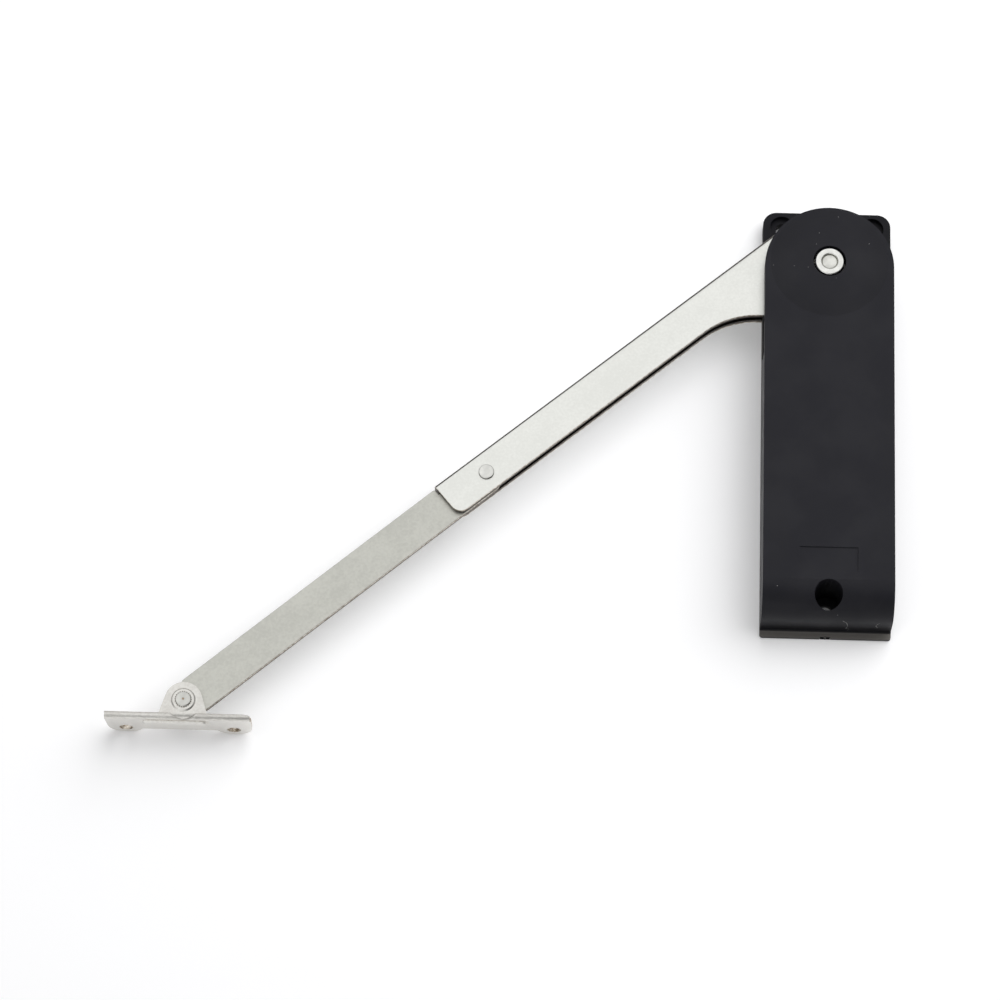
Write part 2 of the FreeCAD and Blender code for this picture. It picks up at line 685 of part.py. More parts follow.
def make_upper_arm():
    """Channel folded from one plate: two hub discs and two flanges joined by a web along one edge."""
    body = new_body("upper_arm", angle="arm_angle")
    web, open_edge = "-arm_web_offset", "-arm_web_offset + arm_width"
    turn = "(arm_angle - 180)"
    # The root's edge lies square to the case, so in the arm's own frame it is turned by the arm's angle.
    corner_along = f"(root_edge_offset - ({open_edge}) * cos({turn})) / sin({turn})"
    on_hub = "sqrt(arm_hub_radius ^ 2 - root_edge_offset ^ 2)"
    hub_x = f"{on_hub} * cos({turn}) + root_edge_offset * sin({turn})"
    hub_y = f"root_edge_offset * cos({turn}) - {on_hub} * sin({turn})"
    tangent = f"root_fillet * tan({turn} / 2)"
    strip = [("-arm_blend", "-sqrt(arm_hub_radius ^ 2 - arm_blend ^ 2)"), ("0", web), ("arm_length", web),
             ("arm_length", f"{open_edge} - arm_end_radius"), ("arm_length - arm_end_radius", open_edge),
             (f"{corner_along} + {tangent}", open_edge),
             (f"{corner_along} - {tangent} * cos({turn})", f"{open_edge} + {tangent} * sin({turn})"),
             (hub_x, hub_y), ("0", "0")]
    rounds = {3: ("arm_end_radius", -1), 5: ("root_fillet", 1)}
    pad(body, "hub", lambda s: add_circle(s, "0", "0", "arm_hub_radius"), "arm_height", offset="arm_back")
    pad(body, "strip", lambda s: add_outline(s, strip, rounds), "arm_height", offset="arm_back")

    def channel(sketch):
        add_box(sketch, "-arm_hub_radius - cut_margin", f"{web} + arm_plate",
                "arm_length + cut_margin", "arm_hub_radius + cut_margin")
    pocket(body, "channel", channel, "arm_height - 2 * arm_plate", offset=GAP_BACK)
    web_place, long_enough = value(web), value("arm_length") / 2

    def along_fold(edge):
        box = edge.BoundBox
        return box.XLength > long_enough and abs(box.YMin - web_place) < SAME and box.YLength < SAME
    dress(body, "Fillet", "fold", along_fold, "arm_edge_radius")
    bore = "pin_radius + running_clearance"
    pocket(body, "pin_bore", lambda s: add_circle(s, "0", "0", bore), "arm_height", offset="arm_back")
    pocket(body, "elbow_hole", lambda s: add_circle(s, ELBOW_ALONG, "-elbow_offset", "rivet_radius"),
           "arm_height", offset="arm_back")

    def rivet_holes(sketch):
        for x, y in cam_rivet_places():
            add_circle(sketch, x, y, "cam_rivet_radius")
    pocket(body, "rivet_holes", rivet_holes, "arm_height", offset="arm_back")
    return body


def cam_rivet_places():
    """Places of the three cam rivets in the arm's frame."""
    for angle in ("180 - cam_rivet_angle", "180", "180 + cam_rivet_angle"):
        yield f"cam_rivet_circle * cos({angle})", f"cam_rivet_circle * sin({angle})"


def cam_point(turn, inward):
    """A point of the cam's edge in the arm's frame after the arm has swung by turn degrees."""
    rate = value("cam_lift") / math.radians(value("cam_turn"))
    angle = math.radians(270 - value("arm_angle") + turn)
    reach = value("cam_start") + rate * math.radians(turn)
    out = Vector(math.cos(angle), math.sin(angle), 0)
    across = Vector(-math.sin(angle), math.cos(angle), 0)
    normal = (across * rate - out * reach).normalize()
    return out * reach + normal * inward


def make_cam():
    """Constant-lift cam under the arm's hub: the roller moves the same amount for each degree of swing."""
    inward = value("roller_radius") + value("cam_gap")
    first, last = -value("cam_run_in"), value("cam_turn") + value("cam_run_out")
    step = (last - first) / (CAM_POINTS - 1)
    points = [cam_point(first + step * index, inward) for index in range(CAM_POINTS)]
    curve = Part.BSplineCurve()
    curve.interpolate(points)
    axis = Vector(0, 0, 1)
    start_angle = math.atan2(points[0].y, points[0].x) + 2 * math.pi
    end_angle = math.atan2(points[-1].y, points[-1].x) % (2 * math.pi)
    lobe_end = end_angle + math.radians(value("cam_lobe"))
    drop_end = lobe_end + math.radians(value("cam_drop"))
    high = Part.ArcOfCircle(Part.Circle(Vector(), axis, points[-1].Length), end_angle, lobe_end)
    low = Part.ArcOfCircle(Part.Circle(Vector(), axis, points[0].Length), drop_end, start_angle)
    edges = [curve, high, Part.LineSegment(high.EndPoint, low.StartPoint), low]
    edges = [edge.toShape() for edge in edges]
    plate = Part.Face(Part.Wire(edges)).extrude(Vector(0, 0, value("cam_thickness")))
    bore = Part.makeCylinder(value("pin_radius + running_clearance"), value("cam_thickness"))
    holes = []
    for x, y in cam_rivet_places():
        place = Vector(value(x), value(y), 0)
        holes.append(Part.makeCylinder(value("cam_rivet_radius"), value("cam_thickness"), place))
    cam = doc.addObject("Part::Feature", "cam")
    cam.Label = "cam"
    cam.Shape = plate.cut(bore).cut(holes)
    cam.Placement = Placement(Vector(0, 0, value(CAM_BACK)), Rotation(Vector(0, 0, 1), value("arm_angle")))
    return cam


def make_hub_pieces():
    """Spacer between the hub discs and the three shouldered rivets that hold the cam."""
    bore = "pin_radius + running_clearance"
    spacer = ring("hub_spacer", bore, "hub_spacer_radius", GAP_BACK, "arm_height - 2 * arm_plate")
    body = new_body("cam_rivets", angle="arm_angle")

    def circles(sketch, radius):
        for x, y in cam_rivet_places():
            add_circle(sketch, x, y, radius)
    for name, radius, length, start in (
            ("shanks", "cam_rivet_radius", "cam_thickness + arm_height", CAM_BACK),
            ("shoulders", "cam_rivet_collar", "arm_height - 2 * arm_plate", GAP_BACK),
            ("heads", "cam_rivet_head", "cam_rivet_head_height", ARM_TOP)):
        pad(body, name, lambda s: circles(s, radius), length, offset=start)
    return [spacer, body]


def make_rivet(name, tail_start, tail_end, head_start, x, y):
    """Shank with a flat tail under the arm and a low round button on top."""
    head_end = f"{head_start} + rivet_head_height"
    profile = [("0", tail_start), ("rivet_tail_radius - rivet_tail_chamfer", tail_start),
               ("rivet_tail_radius", f"{tail_start} + rivet_tail_chamfer"), ("rivet_tail_radius", tail_end),
               ("rivet_radius", tail_end), ("rivet_radius", head_start), ("rivet_head_radius", head_start),
               ("rivet_head_radius", f"{head_end} - rivet_head_chamfer"),
               ("rivet_head_radius - rivet_head_chamfer", head_end), ("0", head_end)]
    return turned(name, profile, x, y)


def make_lower_arm():
    """Flat bar that lies in the channel, with a shoulder that stops it in line with the upper arm."""
    body = new_body("lower_arm", ELBOW_X, ELBOW_Y, LOWER_ANGLE)
    shoulder = "(elbow_inset + moving_clearance)"
    taper = "lower_length - lower_taper_length"
    rivet_y = "-lower_rivet_shift"
    end_north, end_south = f"{rivet_y} - lower_end_radius", f"{rivet_y} + lower_end_radius"
    outline = [("-lower_inner_edge", "-lower_inner_edge"), (shoulder, "-lower_inner_edge"),
               (shoulder, "-lower_north"), (taper, "-lower_north"), ("lower_length", end_north),
               ("lower_length", end_south), (taper, "lower_south"), ("-lower_inner_edge", "lower_south")]
    pad(body, "bar", lambda s: add_outline(s, outline), "lower_thickness", offset=LOWER_BACK)
    pad(body, "end", lambda s: add_circle(s, "lower_length", rivet_y, "lower_end_radius"),
        "lower_thickness", offset=LOWER_BACK)
    for name, corner, radius in (
            ("inner_north", ("-lower_inner_edge", "-lower_inner_edge"), "lower_inner_edge"),
            ("inner_south", ("-lower_inner_edge", "lower_south"), "lower_inner_rounding"),
            ("end_north", (taper, "-lower_north"), "lower_corner_radius"),
            ("end_south", (taper, "lower_south"), "lower_corner_radius"),
            ("shoulder_corner", (shoulder, "-lower_north"), "shoulder_radius")):
        dress(body, "Fillet", name, upright_at(corner), radius)

    def bores(sketch):
        add_circle(sketch, "0", "0", "rivet_radius + running_clearance + bush_wall")
        add_circle(sketch, "lower_length", rivet_y, "rivet_radius + running_clearance + bush_wall")
    pocket(body, "bores", bores, "lower_thickness", offset=LOWER_BACK)
    inner, outer = "rivet_radius + running_clearance", "rivet_radius + running_clearance + bush_wall"
    elbow_bush = ring("elbow_bush", inner, outer, LOWER_BACK, "lower_thickness", ELBOW_X, ELBOW_Y)
    bracket_bush = ring("bracket_bush", inner, outer, LOWER_BACK, "lower_thickness", RIVET_X, RIVET_Y)
    return [body, elbow_bush, bracket_bush]


def make_bracket():
    """Angle bent from one sheet: a tab with a pressed boss, and a flange with two screw holes."""
    body = new_body("bracket", RIVET_X, RIVET_Y)
    face, back = "-bracket_face", "(-bracket_face + bracket_sheet)"
    end, bend_line = "(-bracket_face + bend_radius)", f"({TAB_TOP} - bend_radius)"
    inner_bend = "bend_radius - bracket_sheet"
    left, right = "(-flange_shift - flange_hole_spacing / 2)", "(-flange_shift + flange_hole_spacing / 2)"
    left_end, right_end = f"{left} - flange_left_reach", f"{right} + lobe_radius"
    section = [(face, "0"), (back, "0"), (back, bend_line),
               (end, TAB_BACK), (end, TAB_TOP), (face, bend_line)]
    pad(body, "angle", lambda s: add_outline(s, section, {2: (inner_bend, 1), 4: ("bend_radius", 1)}),
        "flange_left_reach + flange_hole_spacing + lobe_radius", "YZ_Plane", left_end)
    corner = f"sqrt(tab_half_width ^ 2 + {end} ^ 2)"
    touch = f"acos(tab_radius / {corner}) - atan(-{end} / tab_half_width)"
    touch_x, touch_y = f"tab_radius * cos({touch})", f"tab_radius * sin({touch})"
    tab = [("-tab_half_width", end), ("tab_half_width", end), (touch_x, touch_y), (f"-{touch_x}", touch_y)]
    pad(body, "tab", lambda s: add_outline(s, tab), "bracket_sheet", offset=TAB_BACK)
    pad(body, "tab_end", lambda s: add_circle(s, "0", "0", "tab_radius"), "bracket_sheet", offset=TAB_BACK)
    pad(body, "boss", lambda s: add_circle(s, "0", "0", "tab_boss_radius"), "tab_boss_height",
        offset=TAB_TOP)
    boss_top, boss_radius = value(f"{TAB_TOP} + tab_boss_height"), value("tab_boss_radius")

    def boss_rim(edge):
        box = edge.BoundBox
        return abs(box.ZMin - boss_top) < SAME and box.ZLength < SAME and box.XLength > boss_radius
    dress(body, "Chamfer", "boss_rim", boss_rim, "tab_boss_chamfer")

    def outside_lobes(sketch):
        middle = "(lobe_radius + lobe_foot)"
        notch = f"sqrt(lobe_radius ^ 2 - ({middle} - flange_middle) ^ 2)"
        beyond_left, beyond_right = f"{left_end} - cut_margin", f"{right_end} + cut_margin"
        add_outline(sketch, [(left_end, bend_line), (f"{left} - lobe_radius", middle),
                             (f"{left} + {notch}", "flange_middle"), (f"{right} - {notch}", "flange_middle"),
                             (right_end, middle), (beyond_right, middle), (beyond_right, "-cut_margin"),
                             (beyond_left, "-cut_margin"), (beyond_left, bend_line)],
                    {1: ("lobe_radius", -1), 3: ("lobe_radius", -1)})
    pocket(body, "lobes", outside_lobes, "bracket_sheet + 2 * cut_margin", "XZ_Plane",
           "bracket_face - bracket_sheet - cut_margin")

    def flange_corner(sketch):
        low, start = f"{TAB_TOP} - flange_corner_radius", f"{right_end} - flange_corner_radius"
        beyond, above = f"{right_end} + cut_margin", f"{TAB_TOP} + cut_margin"
        add_outline(sketch, [(right_end, low), (beyond, low), (beyond, above), (start, above),
                             (start, TAB_TOP)], {4: ("flange_corner_radius", 1)})
    pocket(body, "flange_corner", flange_corner, "bend_radius + 2 * cut_margin", "XZ_Plane",
           f"-{end} - cut_margin")

    def holes(sketch):
        for x in (left, right):
            add_circle(sketch, x, "flange_hole_height", "flange_hole_radius")
    pocket(body, "flange_holes", holes, "bracket_sheet", "XZ_Plane", f"-{back}")
    low = "-bead_shift - bead_length / 2 + bead_radius"
    high = "-bead_shift + bead_length / 2 - bead_radius"
    pad(body, "bead", lambda s: add_slot(s, low, high, "bead_height", "bead_radius"), "bead_rise",
        "XZ_Plane", "bracket_face")
    bead_face = value(f"{face} - bead_rise")

    def bead_rim(edge):
        box = edge.BoundBox
        return abs(box.YMin - bead_face) < SAME and box.YLength < SAME
    dress(body, "Chamfer", "bead_rim", bead_rim, "bead_chamfer")
    pocket(body, "bead_hollow", lambda s: add_slot(s, low, high, "bead_height", "bead_hollow_radius"),
           "bead_rise", "XZ_Plane", f"-{back}")
    pocket(body, "rivet_hole", lambda s: add_circle(s, "0", "0", "rivet_radius"),
           "bracket_sheet + tab_boss_height", offset=TAB_BACK)
    return body


def make_slider():
    """Moulded slider that the cam pushes down the case: a nose with the roller, and seats for two rods."""
    body = new_body("slider")
    half = "slider_half_width"
    pad(body, "block", lambda s: add_box(s, f"-{half}", "-slider_back", half, "-slider_front"),
        "slider_top - slider_bottom", offset="slider_bottom")
    nose_back = f"{CAM_BACK} + cam_gap"
    nose_height = "cam_thickness - moving_clearance - cam_gap"
    pad(body, "nose",
        lambda s: add_box(s, "-nose_half_width", "-slider_front", "nose_half_width", "-cam_start + nose_lip"),
        nose_height, offset=nose_back)
    pocket(body, "roller_seat", lambda s: add_circle(s, "0", "-cam_start", "roller_radius + seat_clearance"),
           nose_height, offset=nose_back)
    wall = "slider_wall"

    def windows(sketch):
        def one(side):
            near, far = f"{side} * nose_half_width", f"{side} * ({half} - {wall})"
            ends = (near, far) if side == "1" else (far, near)
            add_box(sketch, ends[0], "-slider_back + slider_back_wall", ends[1], f"-slider_front - {wall}")
        at_both_sides(one)
    pocket(body, "windows", windows, "slider_top - slider_bottom", offset="slider_bottom")

    def rod_seats(sketch):
        at_both_sides(lambda side: add_circle(sketch, f"{side} * damper_spacing / 2", "damper_height",
                                              "rod_radius"))
    pocket(body, "rod_seats", rod_seats, "rod_seat", "XZ_Plane", "slider_back - rod_seat")
    nose_top, rim = f"{nose_back} + {nose_height}", "roller_radius - roller_chamfer"
    roller = turned("follower_roller", [("0", nose_back), (rim, nose_back),
                                        ("roller_radius", f"{nose_back} + roller_chamfer"),
                                        ("roller_radius", f"{nose_top} - roller_chamfer"),
                                        (rim, nose_top), ("0", nose_top)])
    roller.setExpression("Placement.Base.y", full("-cam_start"))
    return [body, roller]


def make_damper(side_name, side):
    """One oil damper: cylinder, gland, piston rod and piston, all along the case."""
    axis_x = f"{side} * damper_spacing / 2"
    axis_z = "damper_height"

    def circle(radius):
        return lambda sketch: add_circle(sketch, axis_x, axis_z, radius)
    cylinder = new_body(f"{side_name}_damper_cylinder")
    pad(cylinder, "tube", circle("damper_radius"), DAMPER_LENGTH, "XZ_Plane", "damper_front")
    pocket(cylinder, "bore", circle("damper_bore"), f"{DAMPER_LENGTH} - damper_end_wall", "XZ_Plane",
           "damper_front")
    gland = new_body(f"{side_name}_damper_gland")
    pad(gland, "cap", circle("damper_radius"), "gland_length", "XZ_Plane", "damper_front - gland_length")
    pocket(gland, "bore", circle("rod_radius + running_clearance"), "gland_length", "XZ_Plane",
           "damper_front - gland_length")
    rod = new_body(f"{side_name}_piston_rod")
    pad(rod, "rod", circle("rod_radius"), f"{PISTON_START} + piston_length - slider_back + rod_seat",
        "XZ_Plane", "slider_back - rod_seat")
    piston = new_body(f"{side_name}_piston")
    pad(piston, "piston", circle("damper_bore - running_clearance"), "piston_length", "XZ_Plane",
        PISTON_START)
    pocket(piston, "bore", circle("rod_radius"), "piston_length", "XZ_Plane", PISTON_START)
    return [cylinder, gland, rod, piston]


def make_return_spring():
    """Coil spring between the slider's back and the post, which brings the slider back to the cam."""
    length = value("spring_post_start - slider_back")
    wire = value("spring_wire_radius")
    pitch = (length - 2 * wire) / value("spring_turns")
    helix = Part.makeHelix(pitch, length - 2 * wire, value("spring_radius"))
    corners = []
    for index in range(WIRE_FLATS):
        angle = 2 * math.pi * index / WIRE_FLATS
        corners.append(Vector(value("spring_radius") + wire * math.cos(angle), 0, wire * math.sin(angle)))
    section = Part.makePolygon(corners + corners[:1])
    coil = Part.Wire(helix).makePipeShell([section], True, True)
    spring = doc.addObject("Part::Feature", "return_spring")
    spring.Label = "return_spring"
    spring.Shape = coil
    spring.Placement = Placement(Vector(0, -value("slider_back") - wire, value("damper_height")),
                                 Rotation(Vector(1, 0, 0), 90))
    return spring


def make_stop_pad():
    """Rubber pad in the case's side wall, where the arm's root comes to rest when the lid is open."""
    body = new_body("stop_pad")
    outer, inner = f"-({HALF_WIDTH}) - stop_pad_proud", f"-({HALF_WIDTH}) + case_wall"
    length = "-slot_end - stop_pad_length"
    reach = "stop_pad_flange_reach"
    pad(body, "block", lambda s: add_box(s, outer, length, inner, "-slot_end"),
        "arm_height + 2 * stop_pad_margin", offset="arm_back - stop_pad_margin")
    pad(body, "flange",
        lambda s: add_box(s, inner, f"{length} - {reach}", f"{inner} + stop_pad_flange", "-slot_end"),
        f"arm_height + 2 * {reach}", offset=f"arm_back - {reach}")
    return body


def make_case_screws():
    """Four pan-head screws from the back into the cover's bosses."""
    body = new_body("case_screws")

    def circles(sketch, radius):
        for x, y in screw_places():
            add_circle(sketch, x, y, radius)
    seat = "case_screw_recess - case_screw_head_height"
    pad(body, "heads", lambda s: circles(s, "case_screw_head_radius"), "case_screw_head_height",
        offset=seat)
    pad(body, "shanks", lambda s: circles(s, "case_screw_radius"), "case_screw_length",
        offset="case_screw_recess")
    return body


nodes = [make_base_plate(), make_front_cover(), *make_pivot(), make_stop_pad(), make_case_screws()]
nodes += [make_upper_arm(), make_cam(), *make_hub_pieces()]
nodes.append(make_rivet("elbow_rivet", "arm_back - rivet_tail_height", "arm_back", ARM_TOP,
                        ELBOW_X, ELBOW_Y))
nodes += make_lower_arm()
nodes.append(make_bracket())
nodes.append(make_rivet("bracket_rivet", f"{LOWER_BACK} - washer_play - rivet_tail_height",
                        f"{LOWER_BACK} - washer_play", f"{TAB_TOP} + tab_boss_height", RIVET_X, RIVET_Y))
nodes += make_slider()
for side_name, side in (("left", "-1"), ("right", "1")):
    nodes += make_damper(side_name, side)
nodes.append(make_return_spring())

doc.recompute()
faults = [item.Name for item in doc.Objects if "Invalid" in item.State or "Error" in item.State]
faults += [node.Label for node in nodes if node.Shape.isNull() or not node.Shape.isValid()]
if faults:
    raise RuntimeError("these objects failed: " + ", ".join(faults))
os.makedirs("parts", exist_ok=True)
for node in nodes:
    node.Shape.exportStep(f"parts/{node.Label}.step")
    print(f"{node.Label}: {len(node.Shape.Solids)} solids, {node.Shape.Volume:.1f} mm3")
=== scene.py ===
import json
import math

import bmesh
import bpy
from mathutils import Matrix, Vector


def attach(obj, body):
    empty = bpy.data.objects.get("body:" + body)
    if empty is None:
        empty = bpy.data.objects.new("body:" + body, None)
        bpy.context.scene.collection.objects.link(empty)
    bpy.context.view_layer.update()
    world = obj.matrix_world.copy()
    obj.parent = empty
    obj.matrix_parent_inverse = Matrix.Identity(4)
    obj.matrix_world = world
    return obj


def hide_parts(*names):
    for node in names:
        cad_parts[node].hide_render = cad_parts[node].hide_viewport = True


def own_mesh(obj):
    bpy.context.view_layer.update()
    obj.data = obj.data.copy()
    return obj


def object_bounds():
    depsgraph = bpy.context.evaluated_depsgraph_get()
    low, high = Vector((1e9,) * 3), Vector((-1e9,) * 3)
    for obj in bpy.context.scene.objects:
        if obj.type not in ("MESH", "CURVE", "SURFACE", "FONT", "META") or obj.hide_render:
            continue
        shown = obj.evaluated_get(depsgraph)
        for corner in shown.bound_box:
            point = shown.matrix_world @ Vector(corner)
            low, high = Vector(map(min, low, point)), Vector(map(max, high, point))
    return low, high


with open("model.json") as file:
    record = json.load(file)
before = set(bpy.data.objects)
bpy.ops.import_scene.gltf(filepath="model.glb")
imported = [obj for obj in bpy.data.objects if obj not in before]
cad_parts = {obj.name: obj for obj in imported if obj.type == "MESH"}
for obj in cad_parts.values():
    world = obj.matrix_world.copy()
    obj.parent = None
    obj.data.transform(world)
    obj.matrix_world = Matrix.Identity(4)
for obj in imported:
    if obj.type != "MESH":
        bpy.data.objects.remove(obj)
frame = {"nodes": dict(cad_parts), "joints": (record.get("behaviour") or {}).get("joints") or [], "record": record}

cad_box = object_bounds()

# Camera
# It looks down at the stay from the toe's side, 21 degrees off the vertical, as in the photograph.
# The long lens keeps the arm and the case almost without perspective.
MM = 0.001
LOOK_AT = Vector((-106.5, -79.3, 0.0)) * MM
CAMERA_SIDE = Vector((0.0100, -0.3582, 0.9336)).normalized()
CAMERA_ROLL = math.radians(1.6)
CAMERA_DISTANCE = 1475 * MM
SENSOR_WIDTH = 36
FOCAL_LENGTH = 162

camera = bpy.data.objects.new("camera", bpy.data.cameras.new("camera"))
bpy.context.scene.collection.objects.link(camera)
camera.data.sensor_width = SENSOR_WIDTH
camera.data.lens = FOCAL_LENGTH
camera.data.clip_start = 0.1
camera.data.clip_end = 20
camera_right = Vector((math.cos(CAMERA_ROLL), math.sin(CAMERA_ROLL), 0))
camera_up = CAMERA_SIDE.cross(camera_right).normalized()
turn = Matrix((camera_up.cross(CAMERA_SIDE), camera_up, CAMERA_SIDE)).transposed()
camera.matrix_world = Matrix.Translation(LOOK_AT + CAMERA_SIDE * CAMERA_DISTANCE) @ turn.to_4x4()
bpy.context.scene.camera = camera
bpy.context.scene.view_settings.view_transform = "Standard"

# Table top and light
# A white sheet lies under the stay, clear from below, with a painted shadow where the case covers it. A broad soft
# lamp stands beyond the head and to the right, and a weak one at the left. Metal and plastic mirror a room that
# is bright overhead and dark at the horizon.
FLOOR_HALF = 3.0
FLOOR_COLOUR = (0.86, 0.86, 0.87, 1)
FLOOR_DROP = 0.05 * MM
FLOOR_LIFT = 0.20
UNDER_CASE = Vector((38.0, 146.0)) * MM
UNDER_CASE_MIDDLE = Vector((0.0, -50.0)) * MM
# Painted shadow: under the case the sheet's glow drops to this share of its glow elsewhere.
CASE_SHADOW_SHARE = 0.3
SKY_LIGHT = 0.30
ROOM_DARK = 0.36
ROOM_BRIGHT = 1.12
HORIZON_SPAN = (0.22, 0.72)
BACK_SPAN = (-0.62, -0.02)
BACK_LIGHT = 0.12
FRONT_WALL = 1.15
FRONT_SPAN = (-0.95, -0.60)
FRONT_SLANT = 0.45
KEY_POWER = 29.0
KEY_SIZE = 1.9
KEY_PLACE = Vector((0.68, 0.72, 1.10))
FILL_POWER = 1.6
FILL_SIZE = 0.9
FILL_PLACE = Vector((-0.7, -0.2, 1.1))


def new_material(name):
    """A node material, with its tree and its shader."""
    material = bpy.data.materials.new(name)
    material.use_nodes = True
    shader = material.node_tree.nodes["Principled BSDF"]
    return material, material.node_tree, shader


def math_of(tree, operation, first, second=None):
    """One Math node over values or sockets."""
    node = tree.nodes.new("ShaderNodeMath")
    node.operation = operation
    for socket, source in zip(node.inputs, (first, second)):
        if isinstance(source, (int, float)):
            socket.default_value = source
        elif source is not None:
            tree.links.new(source, socket)
    return node.outputs[0]


def between(tree, source, low, high, to_low=0.0, to_high=1.0):
    """The source's span from low to high, mapped and held to the new span."""
    node = tree.nodes.new("ShaderNodeMapRange")
    node.interpolation_type = "SMOOTHSTEP"
    for name, number in (("From Min", low), ("From Max", high), ("To Min", to_low), ("To Max", to_high)):
        node.inputs[name].default_value = number
    tree.links.new(source, node.inputs["Value"])
    return node.outputs[0]


def ray_kinds(tree):
    """One for rays that come straight from the camera, and one for rays mirrored on the way."""
    path = tree.nodes.new("ShaderNodeLightPath")
    straight = math_of(tree, "MAXIMUM", path.outputs["Is Camera Ray"],
                       path.outputs["Is Transmission Ray"])
    return straight, path.outputs["Is Glossy Ray"]


floor_mesh = bpy.data.meshes.new("table_top")
corners = [(-FLOOR_HALF, -FLOOR_HALF, 0), (FLOOR_HALF, -FLOOR_HALF, 0), (FLOOR_HALF, FLOOR_HALF, 0),
           (-FLOOR_HALF, FLOOR_HALF, 0)]
floor_mesh.from_pydata(corners, [], [(0, 1, 2, 3)])
floor = bpy.data.objects.new("table_top", floor_mesh)
bpy.context.scene.collection.objects.link(floor)
floor.location.z = cad_box[0].z - FLOOR_DROP
floor_material, floor_tree, floor_shader = new_material("white_sheet")
floor_shader.inputs["Base Color"].default_value = FLOOR_COLOUR
floor_shader.inputs["Roughness"].default_value = 0.9
floor_shader.inputs["Specular IOR Level"].default_value = 0.1
floor_shader.inputs["Emission Color"].default_value = (1, 1, 1, 1)
straight_rays, mirrored_rays = ray_kinds(floor_tree)
floor_seen = math_of(floor_tree, "MAXIMUM", straight_rays, mirrored_rays)
floor_place = floor_tree.nodes.new("ShaderNodeSeparateXYZ")
floor_tree.links.new(floor_tree.nodes.new("ShaderNodeTexCoord").outputs["Object"], floor_place.inputs[0])
# Painted shadow: the sheet's glow is turned down inside the case's footprint.
covered = 1.0
for axis in range(2):
    offset = math_of(floor_tree, "SUBTRACT", floor_place.outputs[axis], UNDER_CASE_MIDDLE[axis])
    reach = math_of(floor_tree, "ABSOLUTE", offset)
    inside = math_of(floor_tree, "LESS_THAN", reach, UNDER_CASE[axis] / 2)
    covered = math_of(floor_tree, "MULTIPLY", inside, covered)
open_share = between(floor_tree, covered, 0, 1, FLOOR_LIFT, FLOOR_LIFT * CASE_SHADOW_SHARE)
floor_tree.links.new(math_of(floor_tree, "MULTIPLY", floor_seen, open_share),
                     floor_shader.inputs["Emission Strength"])
sheet_side = floor_tree.nodes.new("ShaderNodeNewGeometry").outputs["Backfacing"]
clear = floor_tree.nodes.new("ShaderNodeBsdfTransparent").outputs[0]
one_sided = floor_tree.nodes.new("ShaderNodeMixShader")
for socket, source in zip(one_sided.inputs, (sheet_side, floor_shader.outputs[0], clear)):
    floor_tree.links.new(source, socket)
floor_tree.links.new(one_sided.outputs[0], floor_tree.nodes["Material Output"].inputs["Surface"])
floor_mesh.materials.append(floor_material)

world = bpy.data.worlds.new("studio_room")
world.use_nodes = True
bpy.context.scene.world = world
room = world.node_tree
direction = room.nodes.new("ShaderNodeTexCoord").outputs["Generated"]
parts = room.nodes.new("ShaderNodeSeparateXYZ")
room.links.new(direction, parts.inputs[0])
overhead = between(room, parts.outputs["Z"], *HORIZON_SPAN, ROOM_DARK, ROOM_BRIGHT)
towards_head = between(room, parts.outputs["Y"], *BACK_SPAN, BACK_LIGHT, 1.0)
front = math_of(room, "ADD", parts.outputs["Y"], math_of(room, "MULTIPLY", parts.outputs["X"], FRONT_SLANT))
front_wall = between(room, front, *FRONT_SPAN, FRONT_WALL, 0.0)
mirrored_light = math_of(room, "MAXIMUM", math_of(room, "MULTIPLY", overhead, towards_head), front_wall)
straight_rays, mirrored_rays = ray_kinds(room)
carried = math_of(room, "SUBTRACT", 1.0, math_of(room, "MAXIMUM", straight_rays, mirrored_rays))
room_light = math_of(room, "ADD", math_of(room, "MULTIPLY", mirrored_rays, mirrored_light),
                     math_of(room, "ADD", straight_rays, math_of(room, "MULTIPLY", carried, SKY_LIGHT)))
room.nodes["Background"].inputs["Color"].default_value = (1, 1, 1, 1)
room.links.new(room_light, room.nodes["Background"].inputs["Strength"])


def add_lamp(name, place, size, power):
    """A square lamp that faces the middle of the stay and isn't mirrored in it."""
    lamp = bpy.data.objects.new(name, bpy.data.lights.new(name, "AREA"))
    bpy.context.scene.collection.objects.link(lamp)
    lamp.data.size = size
    lamp.data.energy = power
    lamp.location = LOOK_AT + place
    lamp.rotation_euler = place.to_track_quat("Z", "Y").to_euler()
    lamp.visible_glossy = False


add_lamp("window_lamp", KEY_PLACE, KEY_SIZE, KEY_POWER)
add_lamp("fill_lamp", FILL_PLACE, FILL_SIZE, FILL_POWER)

# Case shells
# Two mouldings of black plastic, a base plate and a front cover, are screwed together from the back.
# Their edges are softly rounded, and their faces have a fine spark-eroded grain.
CASE_ROUNDING = 0.28 * MM
PLATE_ROUNDING = 0.2 * MM
CASE_BLACK = (0.0145, 0.0145, 0.0180, 1)
CASE_GREY = (0.0180, 0.0180, 0.0215, 1)
# Painted shade: the base plate's black is darker than the cover's, for the shade its ears lie in beside the head.
SHADED_PLATE_BLACK = (0.0075, 0.0075, 0.0095, 1)
SHADED_PLATE_GREY = (0.0100, 0.0100, 0.0120, 1)
# Painted highlight: the lip beyond the toe is painted pale for the light it catches.
LIT_LIP_GREY = (0.150, 0.142, 0.132, 1)
LIP_START = -122.6 * MM
# Painted highlight on the narrow rounded faces along the recess.
RECESS_HIGHLIGHT_GREY = (0.13, 0.13, 0.14, 1)
